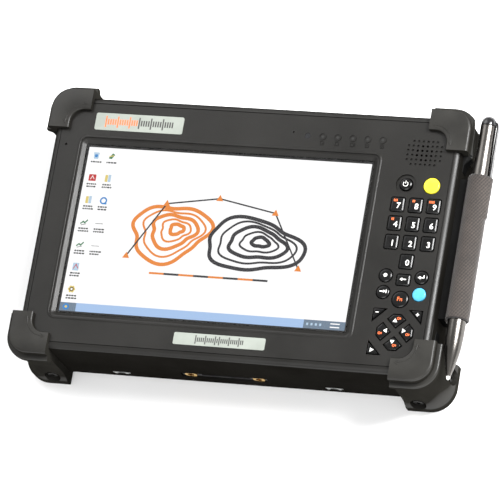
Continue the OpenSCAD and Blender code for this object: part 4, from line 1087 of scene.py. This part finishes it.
def rulerTree(material):
    tree, given = startGroup("rulerTree", {"Cells": "Int", "Pitch": "Float",
                                           "Cell Height": "Float", "Rise": "Float"})
    step = addNode(tree, "ShaderNodeCombineXYZ", links={"X": given.outputs["Pitch"]})
    row = addNode(tree, "GeometryNodeMeshLine", links={"Count": given.outputs["Cells"],
                                                       "Offset": step.outputs[0]})
    narrow = addNode(tree, "ShaderNodeMath", {"operation": "MULTIPLY"}, {1: rulers["barShare"]},
                     {0: given.outputs["Pitch"]})
    size = addNode(tree, "ShaderNodeCombineXYZ", links={"X": narrow.outputs[0],
                                                        "Y": given.outputs["Cell Height"],
                                                        "Z": given.outputs["Rise"]})
    cell = addNode(tree, "GeometryNodeMeshCube", links={"Size": size.outputs[0]})
    number = addNode(tree, "GeometryNodeInputIndex")
    fifth = addNode(tree, "ShaderNodeMath", {"operation": "MODULO"},
                    {1: float(rulers["longEvery"])}, {0: number.outputs[0]})
    isLong = addNode(tree, "ShaderNodeMath", {"operation": "LESS_THAN"}, {1: 0.5},
                     {0: fifth.outputs[0]})
    tall = addNode(tree, "ShaderNodeMath", {"operation": "MULTIPLY_ADD"},
                   {1: rulers["longExtra"], 2: rulers["shortHeight"]}, {0: isLong.outputs[0]})
    stretch = addNode(tree, "ShaderNodeCombineXYZ", inputs={"X": 1.0, "Z": 1.0},
                      links={"Y": tall.outputs[0]})
    copies = addNode(tree, "GeometryNodeInstanceOnPoints",
                     links={"Points": row.outputs[0], "Instance": cell.outputs[0],
                            "Scale": stretch.outputs[0]})
    return finishGroup(tree, copies.outputs[0], material)


def rulerPiece(name, start, cells, pitch, tall, material):
    piece = placed(name, bpy.data.meshes.new(name))
    runGroup(piece, rulerTree(material), {"Cells": cells, "Pitch": pitch / 1000,
                                          "Cell Height": tall / 1000,
                                          "Rise": rulers["rise"] / 1000})
    piece.data.transform(Matrix.Translation(inMetres([start])[0]))
    joined(piece, "tablet")


for node, (tones, halfWide, tall, pitch) in rulers["plates"].items():
    low, high = boxOf(node)
    x, y, z = (low.x + high.x) / 2, (low.y + high.y) / 2, high.z + 0.02
    name = "ruler" + node.split("_")[0].title()
    count = int(halfWide / pitch)
    rulerPiece(name + "Left", (x - count * pitch, y, z), count, pitch, tall, tones[0])
    rulerPiece(name + "Right", (x, y, z), count + 1, pitch, tall, tones[1])
print("labels printed")


# Raised signs under the indicators, moulded in the housing: small outlined boxes with marks
part = newPart()
low, high = faceZ - 0.05, faceZ + 0.3
ledLow, ledHigh = boxOf("indicator_lenses")
ledRadius = (ledHigh.y - ledLow.y) / 2
signs = {"drop": 3.4, "line": 0.32, "rim": 0.22, "box": (1.7, 2.0, 0.3),
         "marks": [[(-0.5, 0.5), (0.5, -0.5)], [(-1.2, -0.9), (-1.2, 0.9)], [(1.5, -0.9), (1.5, 0.9)],
                   [(-0.5, 0), (0.5, 0)], [(0, -0.5), (0, 0.5)]]}
for i, mark in enumerate(signs["marks"]):
    x = ledLow.x + ledRadius + (ledHigh.x - ledLow.x - 2 * ledRadius) * i / 4
    y = (ledLow.y + ledHigh.y) / 2
    for outline in (circleOutline((x, y), ledRadius + signs["rim"], 24),
                    rectOutline((x, y - signs["drop"]), *signs["box"])):
        addStroke(part, outline, signs["line"], low, high, closed=True)
    addStroke(part, [(x + dx, y - signs["drop"] + dy) for dx, dy in mark], signs["line"], low, high)
makePiece(part, "indicatorSigns", [housingPlastic], "tablet", angle=40)
print("signs made")


# Studio: pale table and surroundings, a soft light from the right, weaker ones from the back
# and the front. Each light is its place, its size and its power; lengths are in metres here.
studio = {"lens": 360.0, "offset": (0.8260, -0.7815, 2.2846), "turn": (20.797, 16.123, 9.920),
          "table": 4, "tableTop": -0.0002, "surroundings": 0.72,
          "lights": {"rightLight": ((0.80, 0.38, 0.88), 0.5, 38),
                     "backLight": ((-0.75, 0.80, 1.00), 0.9, 8),
                     "frontLight": ((0.2, -1.3, 1.2), 1.1, 20)}}
reach = studio["table"]
mesh = bpy.data.meshes.new("table")
mesh.from_pydata([(x * reach, y * reach, studio["tableTop"])
                  for x, y in ((-1, -1), (1, -1), (1, 1), (-1, 1))], [], [(0, 1, 2, 3)])
table = placed("table", mesh)
mesh.materials.append(grained("paleTable", ("f6f6f6", "fafafa"), (0.6, 0.7), 400, 3, 0.01))
table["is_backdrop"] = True

target = Vector((centre.x + middle.x, centre.y + middle.y, displayTop + 0.5)) / 1000
eye = bpy.data.cameras.new("camera")
eye.lens, eye.clip_start, eye.clip_end = studio["lens"], 0.1, 20
camera = placed("camera", eye)
camera.location = target + Vector(studio["offset"])
camera.rotation_euler = Euler([math.radians(a) for a in studio["turn"]])
bpy.context.scene.camera = camera

for name, (spot, size, power) in studio["lights"].items():
    lamp = bpy.data.lights.new(name, "AREA")
    lamp.energy, lamp.size = power, size
    light = placed(name, lamp)
    light.location = spot
    light.rotation_euler = (-Vector(spot)).to_track_quat("-Z", "Y").to_euler()
world = bpy.data.worlds.new("surroundings")
bpy.context.scene.world = world
world.use_nodes = True
background = world.node_tree.nodes["Background"]
background.inputs["Color"].default_value = linear("ffffff")
background.inputs["Strength"].default_value = studio["surroundings"]
bpy.context.scene.view_settings.view_transform = "Standard"
print("studio set")

low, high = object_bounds()
